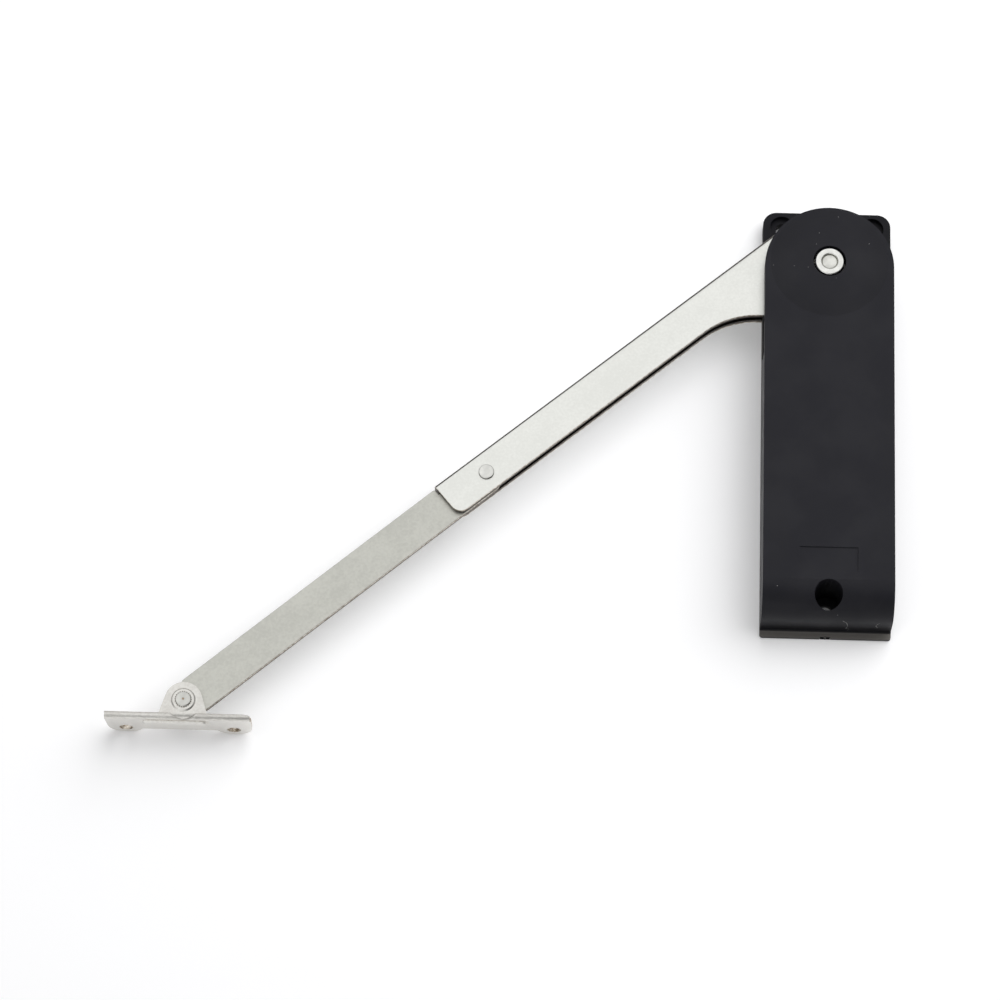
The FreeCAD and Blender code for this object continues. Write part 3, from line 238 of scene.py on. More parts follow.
# Painted shade: from this reach out to the crown's rim the cover darkens by up to this share.
CROWN_SHADE_START = 10 * MM
CROWN_SHADE_SHARE = 0.12
LIP_FOOT = 0.7 * MM
CASE_GLOSS = 0.11
CASE_ROUGHNESS = (0.38, 0.46)
GRAIN_SCALE = 2600
GRAIN_HEIGHT = 0.010 * MM
CROWN_RADIUS = 19.4 * MM
CROWN_FOOT = 20.5 * MM
RIM_REACH = 0.02 * MM
BROAD_FACE = 0.6 * MM
LEVEL_LIMIT = math.radians(0.5)
FLAT_LIMIT = math.radians(12)
SMOOTH_LIMIT = math.radians(35)
ROUND_LIMIT = math.radians(40)
FINE_SHARE = 0.5
MERGE_REACH = 0.002 * MM
RECESS_SPAN = (-107.0, -88.0)
RECESS_HALF = 12.0
RECESS_LEVEL = 19.5


def object_place(tree, turn_angle=0.0, stretch=1.0):
    """Object coordinates, turned about the vertical and stretched along the turned first axis."""
    place = tree.nodes.new("ShaderNodeTexCoord")
    mapping = tree.nodes.new("ShaderNodeMapping")
    mapping.vector_type = "TEXTURE"
    mapping.inputs["Rotation"].default_value = (0, 0, turn_angle)
    mapping.inputs["Scale"].default_value = (stretch, 1, 1)
    tree.links.new(place.outputs["Object"], mapping.inputs["Vector"])
    return mapping.outputs[0]


def noise(tree, place, scale, detail=2.0, roughness=0.5):
    """A noise pattern's value over the given coordinates."""
    pattern = tree.nodes.new("ShaderNodeTexNoise")
    pattern.inputs["Scale"].default_value = scale
    pattern.inputs["Detail"].default_value = detail
    pattern.inputs["Roughness"].default_value = roughness
    tree.links.new(place, pattern.inputs["Vector"])
    return pattern.outputs["Fac"]


def mix_colour(tree, share, first, second):
    """A colour between two colours or sockets."""
    node = tree.nodes.new("ShaderNodeMix")
    node.data_type = "RGBA"
    tree.links.new(share, node.inputs["Factor"])
    for socket, source in ((node.inputs[6], first), (node.inputs[7], second)):
        if isinstance(source, tuple):
            socket.default_value = source
        else:
            tree.links.new(source, socket)
    return node.outputs[2]


def add_bump(tree, shader, source, depth):
    """Relief of the given depth in metres on the shader."""
    bump = tree.nodes.new("ShaderNodeBump")
    bump.inputs["Strength"].default_value = 1.0
    bump.inputs["Distance"].default_value = depth
    tree.links.new(source, bump.inputs["Height"])
    tree.links.new(bump.outputs[0], shader.inputs["Normal"])


def shade(mesh, creases=None):
    """Smooth shading that keeps broad faces flat and the creases sharp."""
    shell = bmesh.new()
    shell.from_mesh(mesh)
    width = {face: 2 * face.calc_area() / max(face.calc_perimeter(), 1e-9) for face in shell.faces}
    for face in shell.faces:
        face.smooth = True
    for edge in shell.edges:
        if len(edge.link_faces) != 2:
            edge.smooth = False
            continue
        broad = max(width[face] for face in edge.link_faces) > BROAD_FACE
        limit = FLAT_LIMIT if broad else SMOOTH_LIMIT
        edge.smooth = edge.calc_face_angle(0) < limit and not (creases and creases(edge))
    shell.to_mesh(mesh)
    shell.free()


def stand_for(piece, node, body):
    """The piece takes the CAD node's place and its body."""
    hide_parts(node)
    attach(piece, body)


def final_mesh(piece):
    """The mesh that a piece has once its modifiers or its curve are worked out."""
    worked_out = piece.evaluated_get(bpy.context.evaluated_depsgraph_get())
    return bpy.data.meshes.new_from_object(worked_out)


def merged(source, name, reshape=None):
    """A copy of a mesh, its doubled points joined, reshaped if need be, and its flat faces merged."""
    mesh = bpy.data.meshes.new(name)
    shell = bmesh.new()
    shell.from_mesh(source)
    bmesh.ops.remove_doubles(shell, verts=shell.verts, dist=MERGE_REACH)
    if reshape:
        reshape(shell)
    bmesh.ops.dissolve_limit(shell, angle_limit=LEVEL_LIMIT, verts=shell.verts, edges=shell.edges)
    shell.to_mesh(mesh)
    shell.free()
    return mesh


def soft_copy(name, node, body, material, rounding, segments=3,
              creases=None, fine=None, reshape=None):
    """A closed copy of a piece's solid with its sharp edges rounded, which stands for it."""
    piece = bpy.data.objects.new(name, merged(frame["nodes"][node].data, name, reshape))
    bpy.context.scene.collection.objects.link(piece)
    shell = bmesh.new()
    shell.from_mesh(piece.data)
    share = shell.edges.layers.float.new("bevel_weight_edge")
    for edge in shell.edges:
        if edge.calc_face_angle(0) > ROUND_LIMIT:
            edge[share] = FINE_SHARE if fine and fine(edge) else 1.0
    shell.to_mesh(piece.data)
    shell.free()
    rounded = piece.modifiers.new("rounded_edges", "BEVEL")
    rounded.width = rounding
    rounded.segments = segments
    rounded.limit_method = "WEIGHT"
    rounded.use_clamp_overlap = True
    finished = final_mesh(piece)
    piece.modifiers.clear()
    piece.data = finished
    finished.name = name
    finished.materials.clear()
    finished.materials.append(material)
    shade(finished, creases)
    stand_for(piece, node, body)
    return piece


def case_plastic(name, black, grey):
    """Black moulded plastic with a fine grain, painted shade towards the crown's rim, and a painted highlight on
    the lip and on the recess's rounded faces.
    """
    material, tree, shader = new_material(name)
    place = object_place(tree)
    cloud = between(tree, noise(tree, place, 60, 4), 0.35, 0.65)
    along = tree.nodes.new("ShaderNodeSeparateXYZ")
    tree.links.new(place, along.inputs[0])
    # Painted highlight on the lip beyond the toe, above its foot.
    beyond_toe = between(tree, along.outputs["Y"], LIP_START - 0.4 * MM, LIP_START, 1, 0)
    above_foot = between(tree, along.outputs["Z"], LIP_FOOT, 2 * LIP_FOOT)
    lit_lip = math_of(tree, "MULTIPLY", beyond_toe, above_foot)
    colour = mix_colour(tree, lit_lip, mix_colour(tree, cloud, black, grey), LIT_LIP_GREY)
    # Painted shade: the crown darkens towards its rim.
    reach = math_of(tree, "SQRT", math_of(tree, "ADD", math_of(tree, "POWER", along.outputs["X"], 2.0),
                                          math_of(tree, "POWER", along.outputs["Y"], 2.0)))
    on_crown = math_of(tree, "MULTIPLY", math_of(tree, "LESS_THAN", reach, CROWN_RADIUS),
                       math_of(tree, "GREATER_THAN", along.outputs["Z"], CROWN_FOOT - 0.05 * MM))
    rim_shade = between(tree, reach, CROWN_SHADE_START, CROWN_RADIUS, 0, CROWN_SHADE_SHARE)
    colour = mix_colour(tree, math_of(tree, "MULTIPLY", on_crown, rim_shade), colour, (0, 0, 0, 1))
    # Painted highlight on the rounded faces along the recess.
    recess_highlight = tree.nodes.new("ShaderNodeAttribute")
    recess_highlight.attribute_name = "recess_highlight"
    colour = mix_colour(tree, recess_highlight.outputs["Fac"], colour, RECESS_HIGHLIGHT_GREY)
    tree.links.new(colour, shader.inputs["Base Color"])
    roughness = between(tree, noise(tree, place, 140, 3), 0.3, 0.7, *CASE_ROUGHNESS)
    tree.links.new(roughness, shader.inputs["Roughness"])
    shader.inputs["Specular IOR Level"].default_value = CASE_GLOSS
    add_bump(tree, shader, noise(tree, place, GRAIN_SCALE, 2), GRAIN_HEIGHT)
    return material


def crown_rim(edge):
    """The edge where the crown rises from the cover's flat face."""
    return all(abs(vertex.co.z - CROWN_FOOT) < RIM_REACH
               and abs(vertex.co.xy.length - CROWN_RADIUS) < RIM_REACH for vertex in edge.verts)


def in_recess(place):
    """Whether a place in millimetres is in or round the recess in the cover's face."""
    along = RECESS_SPAN[0] < place.y < RECESS_SPAN[1]
    return along and abs(place.x) < RECESS_HALF and place.z > RECESS_LEVEL


def recess_edge(edge):
    """The edges of the shallow recess, which are crisper than the rest."""
    return in_recess((edge.verts[0].co + edge.verts[1].co) / 2 / MM)


def on_recess_highlight(middle, normal):
    """The narrow rounded faces along the recess, which get a painted highlight."""
    return in_recess(middle) and 0.1 < normal.z < 0.99


def mark_faces(piece, word, test):
    """Mark the faces that the test picks by their middle in millimetres and their normal."""
    layer = piece.data.attributes.new(word, "FLOAT", "FACE")
    for face in piece.data.polygons:
        layer.data[face.index].value = float(test(face.center / MM, face.normal))


cover_plastic = case_plastic("cover_plastic", CASE_BLACK, CASE_GREY)
front_shell = soft_copy("front_shell", "front_cover", "case", cover_plastic, CASE_ROUNDING,
                        creases=crown_rim, fine=recess_edge)
mark_faces(front_shell, "recess_highlight", on_recess_highlight)
# The base plate gets a darker copy of the plastic, as painted shade.
shaded_plate_plastic = case_plastic("shaded_plate_plastic", SHADED_PLATE_BLACK, SHADED_PLATE_GREY)
soft_copy("back_shell", "base_plate", "case", shaded_plate_plastic, PLATE_ROUNDING, 2)

# Notch in the toe's lip
# The base plate's lip has a shallow notch in its middle, with a small moulded nub and a thin skin under it.
# Both are moulded in one with the plate.
NOTCH_NUB = {"radius": 0.45 * MM, "height": 1.3 * MM}
NOTCH_SKIN = Vector((3.2, 0.6, 0.35)) * MM
NOTCH_PLACE = Vector((0.0, -124.45, 0.18)) * MM


def notch_detail():
    """The nub and the skin in one mesh."""
    shell = bmesh.new()
    skin = Matrix.Translation(NOTCH_PLACE) @ Matrix.Diagonal((*NOTCH_SKIN, 1))
    bmesh.ops.create_cube(shell, size=1, matrix=skin)
    nub = Matrix.Translation((0, NOTCH_PLACE.y + 0.1 * MM, NOTCH_NUB["height"] / 2))
    bmesh.ops.create_cone(shell, cap_ends=True, segments=20, radius1=NOTCH_NUB["radius"],
                          radius2=NOTCH_NUB["radius"] * 0.8, depth=NOTCH_NUB["height"], matrix=nub)
    mesh = bpy.data.meshes.new("notch_detail")
    shell.to_mesh(mesh)
    shell.free()
    mesh.materials.append(shaded_plate_plastic)
    shade(mesh)
    piece = bpy.data.objects.new("notch_detail", mesh)
    bpy.context.scene.collection.objects.link(piece)
    return piece


stand_for(notch_detail(), "base_plate", "case")

# Marks on the case
# A hooked scratch and a bent one at the toe, and pale specks of dust on the head and the toe.
# Each is a hair-thin ridge or a dot that lies on the moulding's face.
MARK_RADIUS = 0.10 * MM
SPECK_RADIUS = 0.12 * MM
SPECK_DRIFT = Vector((0.25, 0.1, 0.0))
MARK_GREY = (0.42, 0.42, 0.41, 1)
SCRATCHES = (
    ((5.1, -122.26, 11.3), (6.4, -122.26, 9.6), (7.0, -122.26, 6.5), (6.5, -122.26, 4.5),
     (7.5, -122.26, 3.9), (7.1, -122.26, 2.1)),
    ((16.9, -122.26, 9.9), (16.2, -122.26, 8.7), (16.0, -122.26, 7.2), (16.7, -122.26, 5.6)),
)
SPECKS = (
    (2.7, 16.1, 20.64), (12.9, 6.6, 20.76), (-3.6, 10.0, 20.97), (-11.8, -2.1, 20.91), (-18.7, -1.8, 20.46),
    (-4.6, 5.9, 21.09), (-7.2, -2.5, 21.09), (19.8, -2.5, 20.36), (2.0, -6.2, 21.12), (15.8, -122.9, 1.21),
    (-16.7, -114.0, 20.11), (-18.7, -120.1, 15.91), (3.1, -121.3, 14.11),
)


def add_marks(name, lines, radius, material):
    """One mesh of thin round ridges along the lines, which are in millimetres."""
    curve = bpy.data.curves.new(name, "CURVE")
    curve.dimensions = "3D"
    curve.bevel_depth = radius
    curve.bevel_resolution = 1
    curve.use_fill_caps = True
    for line in lines:
        spline = curve.splines.new("POLY")
        spline.points.add(len(line) - 1)
        for point, place in zip(spline.points, line):
            point.co = (*(Vector(place) * MM), 1)
    drawn = bpy.data.objects.new(f"{name}_curve", curve)
    bpy.context.scene.collection.objects.link(drawn)
    mesh = final_mesh(drawn)
    bpy.data.objects.remove(drawn)
    mesh.materials.append(material)
    piece = bpy.data.objects.new(name, mesh)
    bpy.context.scene.collection.objects.link(piece)
    return piece


mark_material, mark_tree, mark_shader = new_material("pale_scuff")
mark_share = between(mark_tree, noise(mark_tree, object_place(mark_tree), 900, 2), 0.3, 0.7)
mark_colour = mix_colour(mark_tree, mark_share, CASE_GREY, MARK_GREY)
mark_tree.links.new(mark_colour, mark_shader.inputs["Base Color"])
mark_shader.inputs["Roughness"].default_value = 0.6
speck_lines = [(place, Vector(place) + SPECK_DRIFT) for place in SPECKS]
for name, lines, radius in (("scratches", SCRATCHES, MARK_RADIUS), ("specks", speck_lines, SPECK_RADIUS)):
    stand_for(add_marks(name, lines, radius, mark_material), "front_cover", "case")

# Pivot
# A turned steel pin carries the arm, and a bright plated collar is pressed on its front end.
# Both show in the hole of the cover, the pin's end a little below the collar's face.
COLLAR_COLOUR = (0.82, 0.82, 0.79, 1)
PIN_COLOUR = (0.74, 0.74, 0.70, 1)
DIMPLE_COLOUR = (0.34, 0.25, 0.17, 1)
DIMPLE_RELIEF = 12
TURNED_RELIEF = 0.008 * MM
RING_SCALE = 1500
TURNED_ROUNDING = 0.08 * MM
# Painted shade: the dark crescent on the elbow button's side that faces the toe.
CRESCENT_SHADE_COLOUR = (0.05, 0.04, 0.03, 1)


def turned_steel(name, colour, roughness, centre, dimple=0.0):
    """Turned and plated steel with fine rings, painted shade where the faces say so, and perhaps a rusty dimple.
    """
    material, tree, shader = new_material(name)
    place = tree.nodes.new("ShaderNodeTexCoord")
    offset = tree.nodes.new("ShaderNodeVectorMath")
    offset.operation = "SUBTRACT"
    offset.inputs[1].default_value = centre
    tree.links.new(place.outputs["Object"], offset.inputs[0])
    rings = tree.nodes.new("ShaderNodeTexWave")
    rings.wave_type = "RINGS"
    rings.rings_direction = "Z"
    rings.inputs["Scale"].default_value = RING_SCALE
    rings.inputs["Distortion"].default_value = 3
    tree.links.new(offset.outputs[0], rings.inputs["Vector"])
    cloud = between(tree, noise(tree, offset.outputs[0], 420, 3), 0.3, 0.7)
    dull = tuple(channel * 0.84 for channel in colour[:3]) + (1,)
    finish = mix_colour(tree, cloud, dull, colour)
    relief = math_of(tree, "MULTIPLY", rings.outputs["Fac"], 0.25)
    if dimple:
        flat = tree.nodes.new("ShaderNodeVectorMath")
        flat.operation = "MULTIPLY"
        flat.inputs[1].default_value = (1, 1, 0)
        tree.links.new(offset.outputs[0], flat.inputs[0])
        reach = tree.nodes.new("ShaderNodeVectorMath")
        reach.operation = "LENGTH"
        tree.links.new(flat.outputs[0], reach.inputs[0])
        sunk = between(tree, reach.outputs["Value"], dimple * 0.3, dimple, 1, 0)
        finish = mix_colour(tree, sunk, finish, DIMPLE_COLOUR)
        relief = math_of(tree, "SUBTRACT", relief, math_of(tree, "MULTIPLY", sunk, DIMPLE_RELIEF))
    shaded_crescent = tree.nodes.new("ShaderNodeAttribute")
    shaded_crescent.attribute_name = "shaded_crescent"
    colour = mix_colour(tree, shaded_crescent.outputs["Fac"], finish, CRESCENT_SHADE_COLOUR)
    tree.links.new(colour, shader.inputs["Base Color"])
    shader.inputs["Metallic"].default_value = 1.0
    tree.links.new(between(tree, cloud, 0, 1, roughness * 1.25, roughness), shader.inputs["Roughness"])
    add_bump(tree, shader, relief, TURNED_RELIEF)
    return material


soft_copy("pivot_collar", "pin_collar", "case",
          turned_steel("collar_nickel", COLLAR_COLOUR, 0.24, (0, 0, 0)), TURNED_ROUNDING)
soft_copy("pivot_axle", "pivot_pin", "case",
          turned_steel("pin_steel", PIN_COLOUR, 0.34, (0, 0, 0)), TURNED_ROUNDING)

# Upper arm
# A channel folded from 2 mm steel sheet and plated with bright nickel, faintly mottled and drawn.
# Its blanked edges are rougher and browner than its faces, and its inside and the web's front corner are darkened
# with painted shade.
SHEET_COLOUR = (0.795, 0.80, 0.765, 1)
SHEET_DULL = (0.745, 0.75, 0.715, 1)
EDGE_COLOUR = (0.78, 0.73, 0.65, 1)
EDGE_BROWN = (0.30, 0.24, 0.18, 1)
TORN_COLOUR = (0.055, 0.043, 0.033, 1)
# Painted highlight: the bracket flange's front face is painted brighter.
LIT_FLANGE_COLOUR = (0.80, 0.785, 0.75, 1)
# Painted shade for the channel's inside, the web's front corner and the bead's lower slope.
PAINTED_SHADE_COLOUR = (0.05, 0.042, 0.034, 1)
ARM_TURN = math.radians(220.25)
ARM_ACROSS = Vector((-math.sin(ARM_TURN), math.cos(ARM_TURN), 0))
WEB_INSIDE = -18.75
CHANNEL_SPAN = (10.95, 13.45)
ARM_TORN = (9.75, 14.5)
TORN_BLUR = 0.15
PIT_BLUR = 0.3
PIT_RELIEF = 14
SHEET_RELIEF = 0.003 * MM
ARM_ROUNDING = 0.19 * MM


def band(tree, source, span, blur):
    """One within the span in millimetres, and nothing beyond it."""
    low, high = span
    rise = between(tree, source, (low - blur) * MM, (low + blur) * MM)
    fall = between(tree, source, (high - blur) * MM, (high + blur) * MM, 1, 0)
    return math_of(tree, "MULTIPLY", rise, fall)


def plated_sheet(name, bright, dull, grain_turn, roughness, mottle, dark_band, pitted=None):
    """Nickel-plated sheet whose faces say where it is cut, where it gets painted light and where painted shade,
    perhaps with a pitted bend.
    """
    material, tree, shader = new_material(name)
    place = object_place(tree)
    drawn = noise(tree, object_place(tree, grain_turn, 12), 260, 3, 0.6)
    cloud = noise(tree, place, mottle, 5, 0.65)
    speckle = noise(tree, place, 1250, 1)
    mottled = math_of(tree, "MULTIPLY", drawn, 0.15)
    for pattern, weight in ((cloud, 0.45), (speckle, 0.4)):
        mottled = math_of(tree, "ADD", mottled, math_of(tree, "MULTIPLY", pattern, weight))
    share = between(tree, mottled, 0.36, 0.64)
    face_colour = mix_colour(tree, share, dull, bright)
    streaks = between(tree, noise(tree, place, 1100, 2), 0.36, 0.62)
    level = tree.nodes.new("ShaderNodeSeparateXYZ")
    tree.links.new(place, level.inputs[0])
    torn = band(tree, level.outputs["Z"], dark_band, TORN_BLUR)
    edge_colour = mix_colour(tree, torn, mix_colour(tree, streaks, EDGE_BROWN, EDGE_COLOUR), TORN_COLOUR)
    told = {}
    for word in ("lit_flange", "cut_edge", "inside"):
        told[word] = tree.nodes.new("ShaderNodeAttribute")
        told[word].attribute_name = word
    # Painted highlight on the faces marked for it.
    face_colour = mix_colour(tree, told["lit_flange"].outputs["Fac"], face_colour, LIT_FLANGE_COLOUR)
    colour = mix_colour(tree, told["cut_edge"].outputs["Fac"], face_colour, edge_colour)
    # Painted shade on the faces marked for it.
    colour = mix_colour(tree, told["inside"].outputs["Fac"], colour, PAINTED_SHADE_COLOUR)
    tree.links.new(colour, shader.inputs["Base Color"])
    shader.inputs["Metallic"].default_value = 1.0
    tree.links.new(between(tree, share, 0, 1, roughness * 1.12, roughness), shader.inputs["Roughness"])
    relief = math_of(tree, "ADD", noise(tree, place, 1500, 2), math_of(tree, "MULTIPLY", drawn, 0.6))
    if pitted:
        pits = math_of(tree, "MULTIPLY", between(tree, noise(tree, place, 950, 2), 0.42, 0.62),
                       band(tree, level.outputs["Y"], pitted, PIT_BLUR))
        relief = math_of(tree, "ADD", relief, math_of(tree, "MULTIPLY", pits, PIT_RELIEF))
    add_bump(tree, shader, relief, SHEET_RELIEF)
    return material


def arm_cut(middle, normal):
    """Blanked edges: upright faces other than the folded web."""
    on_web = abs(normal.dot(ARM_ACROSS)) > 0.8 and middle.dot(ARM_ACROSS) < WEB_INSIDE + 0.1
    return abs(normal.z) < 0.5 and not on_web


def arm_inside(middle, normal):
    """The channel's inner faces, and the fine line along the web's front corner, all darkened with painted shade.
    """
    if 0.2 < normal.z < 0.9 and normal.dot(ARM_ACROSS) < -0.3 and middle.dot(ARM_ACROSS) < WEB_INSIDE:
        return True
    in_channel = CHANNEL_SPAN[0] < middle.z < CHANNEL_SPAN[1]
    on_web = normal.dot(ARM_ACROSS) > 0.9 and abs(middle.dot(ARM_ACROSS) - WEB_INSIDE) < 0.1
    return in_channel and (abs(normal.z) > 0.9 or on_web)


upper_steel = plated_sheet("upper_arm_nickel", SHEET_COLOUR, SHEET_DULL, ARM_TURN, 0.34, 42, ARM_TORN)
folded_arm = soft_copy("folded_arm", "upper_arm", "upper_link", upper_steel, ARM_ROUNDING)
mark_faces(folded_arm, "cut_edge", arm_cut)
# Painted shade on the channel's inside and along the web's front corner.
mark_faces(folded_arm, "inside", arm_inside)

# Lower arm
# A flat bar of the same plated steel, duller and more mottled, blanked with a shoulder and round ends.
# It lies in the channel of the upper arm and turns on the elbow rivet.
BAR_COLOUR = (0.555, 0.555, 0.510, 1)
BAR_DULL = (0.500, 0.500, 0.460, 1)
BAR_TORN = (11.5, 12.4)
BAR_ROUNDING = 0.15 * MM
bar_steel = plated_sheet("lower_arm_nickel", BAR_COLOUR, BAR_DULL, ARM_TURN, 0.36, 90, BAR_TORN)
flat_bar = soft_copy("flat_bar", "lower_arm", "lower_link", bar_steel, BAR_ROUNDING)
mark_faces(flat_bar, "cut_edge", lambda middle, normal: abs(normal.z) < 0.5)

# Bracket
# An angle pressed and bent from 1.5 mm steel sheet and plated, with a raised boss and a long bead.
# The flange is screwed to the lid through two holes in its round lobes.
PRESSED_COLOUR = (0.73, 0.72, 0.685, 1)
PRESSED_DULL = (0.64, 0.625, 0.59, 1)
joint_place = {joint["name"]: Vector(joint["pos_m"]) for joint in frame["joints"] if "pos_m" in joint}
RIVET_PLACE = joint_place["bracket_tilt"] / MM
BEND_START = RIVET_PLACE.y - 4.4
BEND_FOOT = 13.2
BEND_RADIUS = 1.8
BEND_STEPS = 8
CUT_REACH = 0.0001 * MM
FOOT_JOIN = 0.06 * MM
BRACKET_TORN = (14.1, 14.3)
BEND_PITTED = (BEND_START - 1.7, BEND_START - 0.6)
BRACKET_ROUNDING = 0.18 * MM
BEAD_SPAN = (8.0, 12.8)
BEAD_SHADE = 0.4


def lay_foot_on_bend(shell):
    """Lay the part of the tab's round end that juts over the bend down onto the bend."""
    for step in range(BEND_STEPS):
        level = BEND_START - BEND_RADIUS * math.sin(math.pi / 2 * step / BEND_STEPS)
        everything = shell.verts[:] + shell.edges[:] + shell.faces[:]
        bmesh.ops.bisect_plane(shell, geom=everything, dist=CUT_REACH,
                               plane_co=Vector((0, level, 0)) * MM, plane_no=(0, 1, 0))
    laid = []
    for vertex in shell.verts:
        beyond = BEND_START - vertex.co.y / MM
        if 0 <= beyond < BEND_RADIUS and vertex.co.z / MM > BEND_FOOT:
            surface = BEND_FOOT + math.sqrt(BEND_RADIUS ** 2 - beyond ** 2)
            vertex.co.z = min(vertex.co.z, surface * MM)
            laid.append(vertex)
    bmesh.ops.remove_doubles(shell, verts=laid, dist=FOOT_JOIN)
    bmesh.ops.dissolve_degenerate(shell, dist=FOOT_JOIN / 3, edges=shell.edges)


def bracket_cut(middle, normal):
    """Blanked edges of the tab and of the flange."""
    if middle.y > BEND_START + 0.1:
        return abs(normal.z) < 0.5
    return abs(normal.y) < 0.3 and (abs(normal.z) < 0.5 or middle.z < BEND_FOOT)


def bead_foot(middle, normal):
    """The bead's lower slope, which is half in shade."""
    on_bead = BEAD_SPAN[0] < middle.z < BEAD_SPAN[1] and middle.y < BEND_START
    return BEAD_SHADE * (on_bead and -0.95 < normal.y < -0.2 and normal.z < -0.2)


pressed_steel = plated_sheet("bracket_nickel", PRESSED_COLOUR, PRESSED_DULL, 0.0, 0.36, 120,
                             BRACKET_TORN, BEND_PITTED)
lid_angle = soft_copy("lid_angle", "bracket", "lid_bracket", pressed_steel,
                      BRACKET_ROUNDING, reshape=lay_foot_on_bend)
mark_faces(lid_angle, "cut_edge", bracket_cut)
# Painted highlight on the flange's front face.
mark_faces(lid_angle, "lit_flange", lambda middle, normal: normal.y < -0.8 and middle.z < BEND_FOOT)
# Painted shade on the bead's lower slope.
mark_faces(lid_angle, "inside", bead_foot)

# Rivets
# Both are plated steel. The elbow's has a flat button, and the bracket's is staked, with a toothed rim and
# a dimple. Each turns in a plastic bush in the lower arm.
RIVET_COLOUR = (0.66, 0.66, 0.625, 1)
ELBOW_COLOUR = (0.77, 0.77, 0.735, 1)
TOOTH_DARK = (0.16, 0.13, 0.10, 1)
RIVET_ROUNDING = 0.1 * MM
DIMPLE_RADIUS = 0.55 * MM
TEETH = {"Count": 22, "Ring Radius": 2.52 * MM, "Tooth Length": 0.34 * MM, "Tooth Width": 0.30 * MM,
         "Tooth Height": 0.40 * MM}
TEETH_FOOT = 15.5 * MM


def new_group(name, values):
    """A geometry node group with one named input for each value, its inputs and its output node."""
    group = bpy.data.node_groups.new(name, "GeometryNodeTree")
    for label, size in values.items():
        kind = "NodeSocketInt" if isinstance(size, int) else "NodeSocketFloat"
        group.interface.new_socket(label, in_out="INPUT", socket_type=kind).default_value = size
    group.interface.new_socket("Geometry", in_out="OUTPUT", socket_type="NodeSocketGeometry")
    return group, group.nodes.new("NodeGroupInput").outputs, group.nodes.new("NodeGroupOutput")


def wired(group, kind, links=None, **settings):
    """A node of the group with sockets linked or set by name, and with its settings."""
    node = group.nodes.new(kind)
    for name, setting in settings.items():
        setattr(node, name, setting)
    for name, source in (links or {}).items():
        socket = next(item for item in node.inputs if item.name == name and item.enabled)
        if isinstance(source, bpy.types.NodeSocket):
            group.links.new(source, socket)
        else:
            socket.default_value = source
    return node


def finish_group(group, output, geometry, material):
    """Set the material and hand the geometry to the group's output."""
    dressed = wired(group, "GeometryNodeSetMaterial", {"Geometry": geometry, "Material": material})
    group.links.new(dressed.outputs[0], output.inputs[0])


def made_by(name, group, values):
    """One object with the mesh that the group makes from the values."""
    piece = bpy.data.objects.new(name, bpy.data.meshes.new(f"{name}_seed"))
    bpy.context.scene.collection.objects.link(piece)
    modifier = piece.modifiers.new("made", "NODES")
    modifier.node_group = group
    for item in group.interface.items_tree:
        if item.in_out == "INPUT":
            modifier[item.identifier] = values[item.name]
    mesh = final_mesh(piece)
    piece.modifiers.clear()
    piece.data = mesh
    mesh.name = name
    shade(mesh)
    return piece


def ring_of_teeth(values, place, material):
    """Small blocks in a ring, each turned outwards."""
    group, given, output = new_group("staked_rim", values)
    circle = wired(group, "GeometryNodeMeshCircle", {"Vertices": given["Count"],
                                                     "Radius": given["Ring Radius"]})
    size = wired(group, "ShaderNodeCombineXYZ", {"X": given["Tooth Length"], "Y": given["Tooth Width"],
                                                 "Z": given["Tooth Height"]})
    block = wired(group, "GeometryNodeMeshCube", {"Size": size.outputs[0]})
    rim_shade = wired(group, "GeometryNodeInputPosition")
    turned = wired(group, "FunctionNodeAlignRotationToVector", {"Vector": rim_shade.outputs[0]}, axis="X",
                   pivot_axis="Z")
    blocks = wired(group, "GeometryNodeInstanceOnPoints", {"Points": circle.outputs[0],
                                                           "Instance": block.outputs[0],
                                                           "Rotation": turned.outputs[0]})
    real = wired(group, "GeometryNodeRealizeInstances", {"Geometry": blocks.outputs[0]})
    moved = wired(group, "GeometryNodeTransform", {"Geometry": real.outputs[0], "Translation": place})
    finish_group(group, output, moved.outputs[0], material)
    return made_by("staked_teeth", group, values)


for piece_name, node, body, joint, colour, dimple in (
        ("elbow_button", "elbow_rivet", "upper_link", "elbow_fold", ELBOW_COLOUR, 0.0),
        ("staked_rivet", "bracket_rivet", "lid_bracket", "bracket_tilt", RIVET_COLOUR, DIMPLE_RADIUS)):
    rivet_steel = turned_steel(f"{piece_name}_nickel", colour, 0.32, joint_place[joint], dimple)
    rivet = soft_copy(piece_name, node, body, rivet_steel, RIVET_ROUNDING)
    if not dimple:
        # Painted shade on the button's side facing the toe.
        mark_faces(rivet, "shaded_crescent", lambda middle, normal: normal.y < -0.3 and abs(normal.z) < 0.6)
teeth_place = joint_place["bracket_tilt"].copy()
teeth_place.z = TEETH_FOOT + TEETH["Tooth Height"] / 2
teeth_steel = turned_steel("staked_teeth_steel", TOOTH_DARK, 0.4, joint_place["bracket_tilt"])
stand_for(ring_of_teeth(TEETH, teeth_place, teeth_steel), "bracket_rivet", "lid_bracket")

# Inner works
# The cam, its rivets, the roller and the hub spacer are hardened steel, and the piston rods drawn steel.
# Washers, bushes, glands and pistons are moulded in pale acetal, the slider in black acetal and the damper
# cylinders in grey plastic. The stop pad is rubber.
HARD_STEEL = (0.34, 0.33, 0.31, 1)
NATURAL_ACETAL = (0.74, 0.72, 0.65, 1)
BLACK_ACETAL = (0.020, 0.020, 0.022, 1)
DAMPER_GREY = (0.12, 0.125, 0.135, 1)
RUBBER_BLACK = (0.012, 0.012, 0.012, 1)
INNER_ROUNDING = 0.1


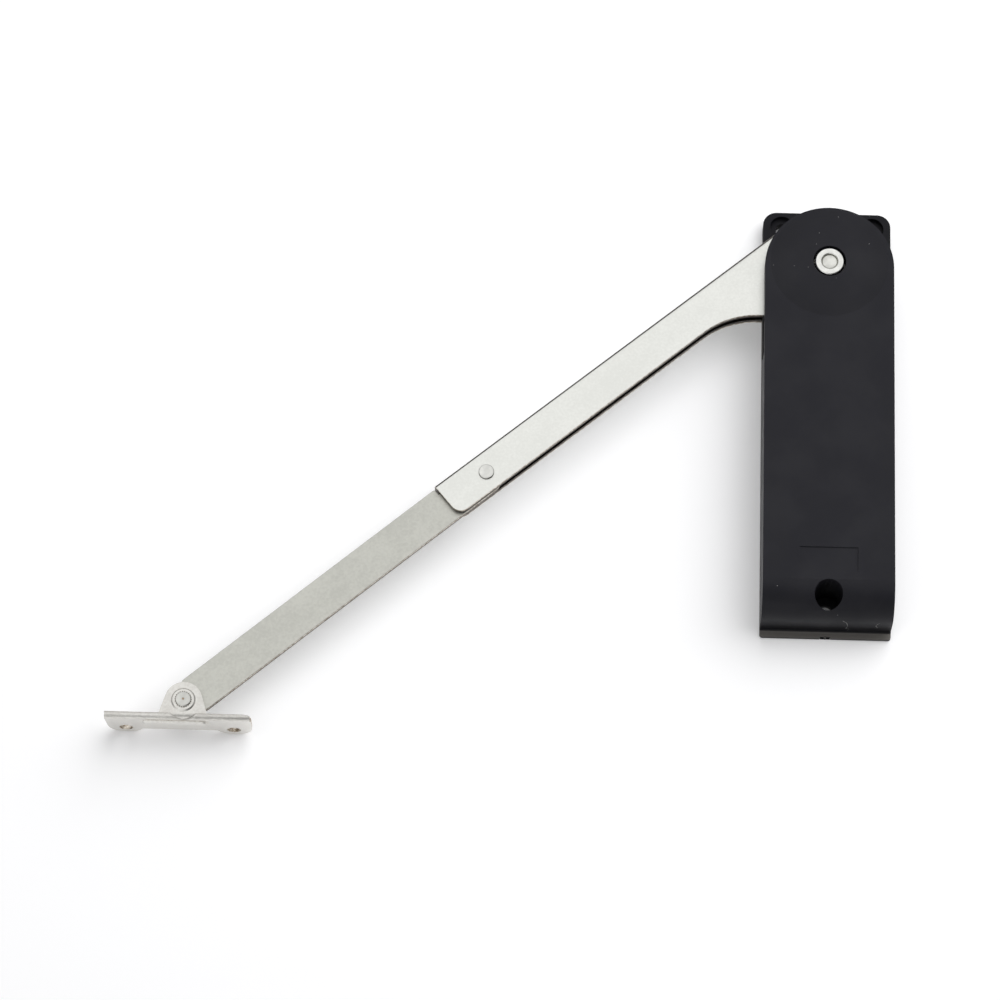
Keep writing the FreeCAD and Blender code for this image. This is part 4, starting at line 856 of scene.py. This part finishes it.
def worked_steel(name, colour, roughness):
    """Ground or drawn steel with a faint oily cloudiness."""
    material, tree, shader = new_material(name)
    place = object_place(tree)
    cloud = between(tree, noise(tree, place, 260, 4), 0.3, 0.7)
    dull = tuple(channel * 0.7 for channel in colour[:3]) + (1,)
    tree.links.new(mix_colour(tree, cloud, dull, colour), shader.inputs["Base Color"])
    shader.inputs["Metallic"].default_value = 1.0
    tree.links.new(between(tree, cloud, 0, 1, roughness * 1.3, roughness), shader.inputs["Roughness"])
    add_bump(tree, shader, noise(tree, place, 2400, 2), 0.004 * MM)
    return material


def moulded(name, colour, roughness):
    """A smooth technical moulding with a light satin grain."""
    material, tree, shader = new_material(name)
    place = object_place(tree)
    cloud = between(tree, noise(tree, place, 120, 3), 0.3, 0.7)
    dull = tuple(channel * 0.85 for channel in colour[:3]) + (1,)
    tree.links.new(mix_colour(tree, cloud, dull, colour), shader.inputs["Base Color"])
    tree.links.new(between(tree, cloud, 0, 1, roughness * 1.2, roughness), shader.inputs["Roughness"])
    add_bump(tree, shader, noise(tree, place, 2000, 2), 0.006 * MM)
    return material


screw_steel = worked_steel("drawn_steel", PIN_COLOUR, 0.28)
spring_steel = worked_steel("spring_wire", HARD_STEEL, 0.30)
inner_finishes = {
    "hardened_steel": worked_steel("hardened_steel", HARD_STEEL, 0.32),
    "pin_steel": screw_steel,
    "slide_plastic": moulded("natural_acetal", NATURAL_ACETAL, 0.38),
    "slider_plastic": moulded("black_acetal", BLACK_ACETAL, 0.36),
    "damper_plastic": moulded("damper_grey", DAMPER_GREY, 0.30),
    "stop_rubber": moulded("stop_rubber", RUBBER_BLACK, 0.75),
}
inner_rounding = {"slider": 0.3, "left_damper_cylinder": 0.3, "right_damper_cylinder": 0.3,
                  "stop_pad": 0.25}
slot_of = {part["node"]: part["material_slot"] for part in frame["record"]["subparts"]}
bodies = frame["record"]["behaviour"]["bodies"]
body_of = {node: body for body, nodes in bodies.items() for node in nodes}
for node, slot_name in slot_of.items():
    if slot_name in inner_finishes and node not in ("pivot_pin", "case_screws"):
        rounding = inner_rounding.get(node, INNER_ROUNDING) * MM
        soft_copy(f"{node}_part", node, body_of[node], inner_finishes[slot_name], rounding, 2)

# Case screws
# Four zinc-plated pan-head screws from the back, each with a cross recess in its head.
# One screw is drawn and set at the four corners of a grid.
SCREWS = {"Head Radius": 2.68 * MM, "Head Height": 1.2 * MM, "Head Start": 0.3 * MM,
          "Shank Radius": 1.25 * MM, "Shank Length": 11.0 * MM, "Cross Length": 3.0 * MM,
          "Cross Width": 0.75 * MM, "Cross Depth": 0.8 * MM, "Grid Width": 32.9 * MM,
          "Grid Length": 53.5 * MM}
SCREW_MIDDLE = Vector((0, -84.75, 0)) * MM


def cross_head_screws(values, middle, material):
    """Screws with a crossed slot in the head, instanced on a grid of four points."""
    group, given, output = new_group("case_screws", values)

    def upright(z):
        return wired(group, "ShaderNodeCombineXYZ", {"Z": z}).outputs[0]

    def sum_of(*sources):
        total = sources[0]
        for source in sources[1:]:
            total = math_of(group, "ADD", total, source)
        return total

    half_head = math_of(group, "MULTIPLY", given["Head Height"], 0.5)
    half_shank = math_of(group, "MULTIPLY", given["Shank Length"], 0.5)
    head = wired(group, "GeometryNodeMeshCylinder", {"Vertices": 48, "Radius": given["Head Radius"],
                                                     "Depth": given["Head Height"]})
    shank = wired(group, "GeometryNodeMeshCylinder", {"Vertices": 32, "Radius": given["Shank Radius"],
                                                      "Depth": given["Shank Length"]})
    head_up = wired(group, "GeometryNodeTransform", {
        "Geometry": head.outputs["Mesh"], "Translation": upright(sum_of(given["Head Start"], half_head))})
    shank_up = wired(group, "GeometryNodeTransform", {
        "Geometry": shank.outputs["Mesh"],
        "Translation": upright(sum_of(given["Head Start"], given["Head Height"], half_shank))})
    arms = wired(group, "GeometryNodeJoinGeometry")
    cross_height = math_of(group, "MULTIPLY", given["Cross Depth"], 2.0)
    for first, second in (("Cross Length", "Cross Width"), ("Cross Width", "Cross Length")):
        size = wired(group, "ShaderNodeCombineXYZ", {"X": given[first], "Y": given[second],
                                                     "Z": cross_height})
        bar = wired(group, "GeometryNodeMeshCube", {"Size": size.outputs[0]})
        placed = wired(group, "GeometryNodeTransform", {"Geometry": bar.outputs["Mesh"],
                                                        "Translation": upright(given["Head Start"])})
        group.links.new(placed.outputs[0], arms.inputs[0])
    cut = wired(group, "GeometryNodeMeshBoolean", {"Mesh 1": head_up.outputs[0]}, operation="DIFFERENCE",
                solver="EXACT")
    cut.inputs["Self Intersection"].default_value = True
    group.links.new(arms.outputs[0], cut.inputs["Mesh 2"])
    screw = wired(group, "GeometryNodeJoinGeometry")
    for part in (shank_up.outputs[0], cut.outputs[0]):
        group.links.new(part, screw.inputs[0])
    grid = wired(group, "GeometryNodeMeshGrid", {"Size X": given["Grid Width"],
                                                 "Size Y": given["Grid Length"],
                                                 "Vertices X": 2, "Vertices Y": 2})
    placed = wired(group, "GeometryNodeTransform", {"Geometry": grid.outputs[0], "Translation": middle})
    copies = wired(group, "GeometryNodeInstanceOnPoints", {"Points": placed.outputs[0],
                                                           "Instance": screw.outputs[0]})
    real = wired(group, "GeometryNodeRealizeInstances", {"Geometry": copies.outputs[0]})
    finish_group(group, output, real.outputs[0], material)
    return made_by("cross_head_screws", group, values)


stand_for(cross_head_screws(SCREWS, SCREW_MIDDLE, screw_steel), "case_screws", "case")

# Return spring
# A coil of spring wire between the slider and the base plate's post pushes the slider to the cam.
# The real spring shortens as the slider travels down the case; here the coil keeps its length and moves with the
# slider.
COIL = {"Turns": 5.0, "Coil Radius": 2.1 * MM, "Coil Length": 13.2 * MM, "Wire Radius": 0.34 * MM}
COIL_START = Vector((0, -46.4, 10.3)) * MM


def coil_spring(values, start, material):
    """A round wire swept along a helix that runs down the case."""
    group, given, output = new_group("return_spring", values)
    helix = wired(group, "GeometryNodeCurveSpiral", {
        "Resolution": 40, "Rotations": given["Turns"], "Start Radius": given["Coil Radius"],
        "End Radius": given["Coil Radius"], "Height": given["Coil Length"]})
    wire = wired(group, "GeometryNodeCurvePrimitiveCircle", {"Resolution": 12,
                                                             "Radius": given["Wire Radius"]})
    swept = wired(group, "GeometryNodeCurveToMesh", {"Curve": helix.outputs[0],
                                                     "Profile Curve": wire.outputs[0],
                                                     "Fill Caps": True})
    laid = wired(group, "GeometryNodeTransform", {"Geometry": swept.outputs[0], "Translation": start,
                                                  "Rotation": (math.pi / 2, 0, 0)})
    finish_group(group, output, laid.outputs[0], material)
    return made_by("coil_spring", group, values)


spring_coil = coil_spring(COIL, COIL_START, spring_steel)
stand_for(spring_coil, "return_spring", "damper_slider")
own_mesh(spring_coil)
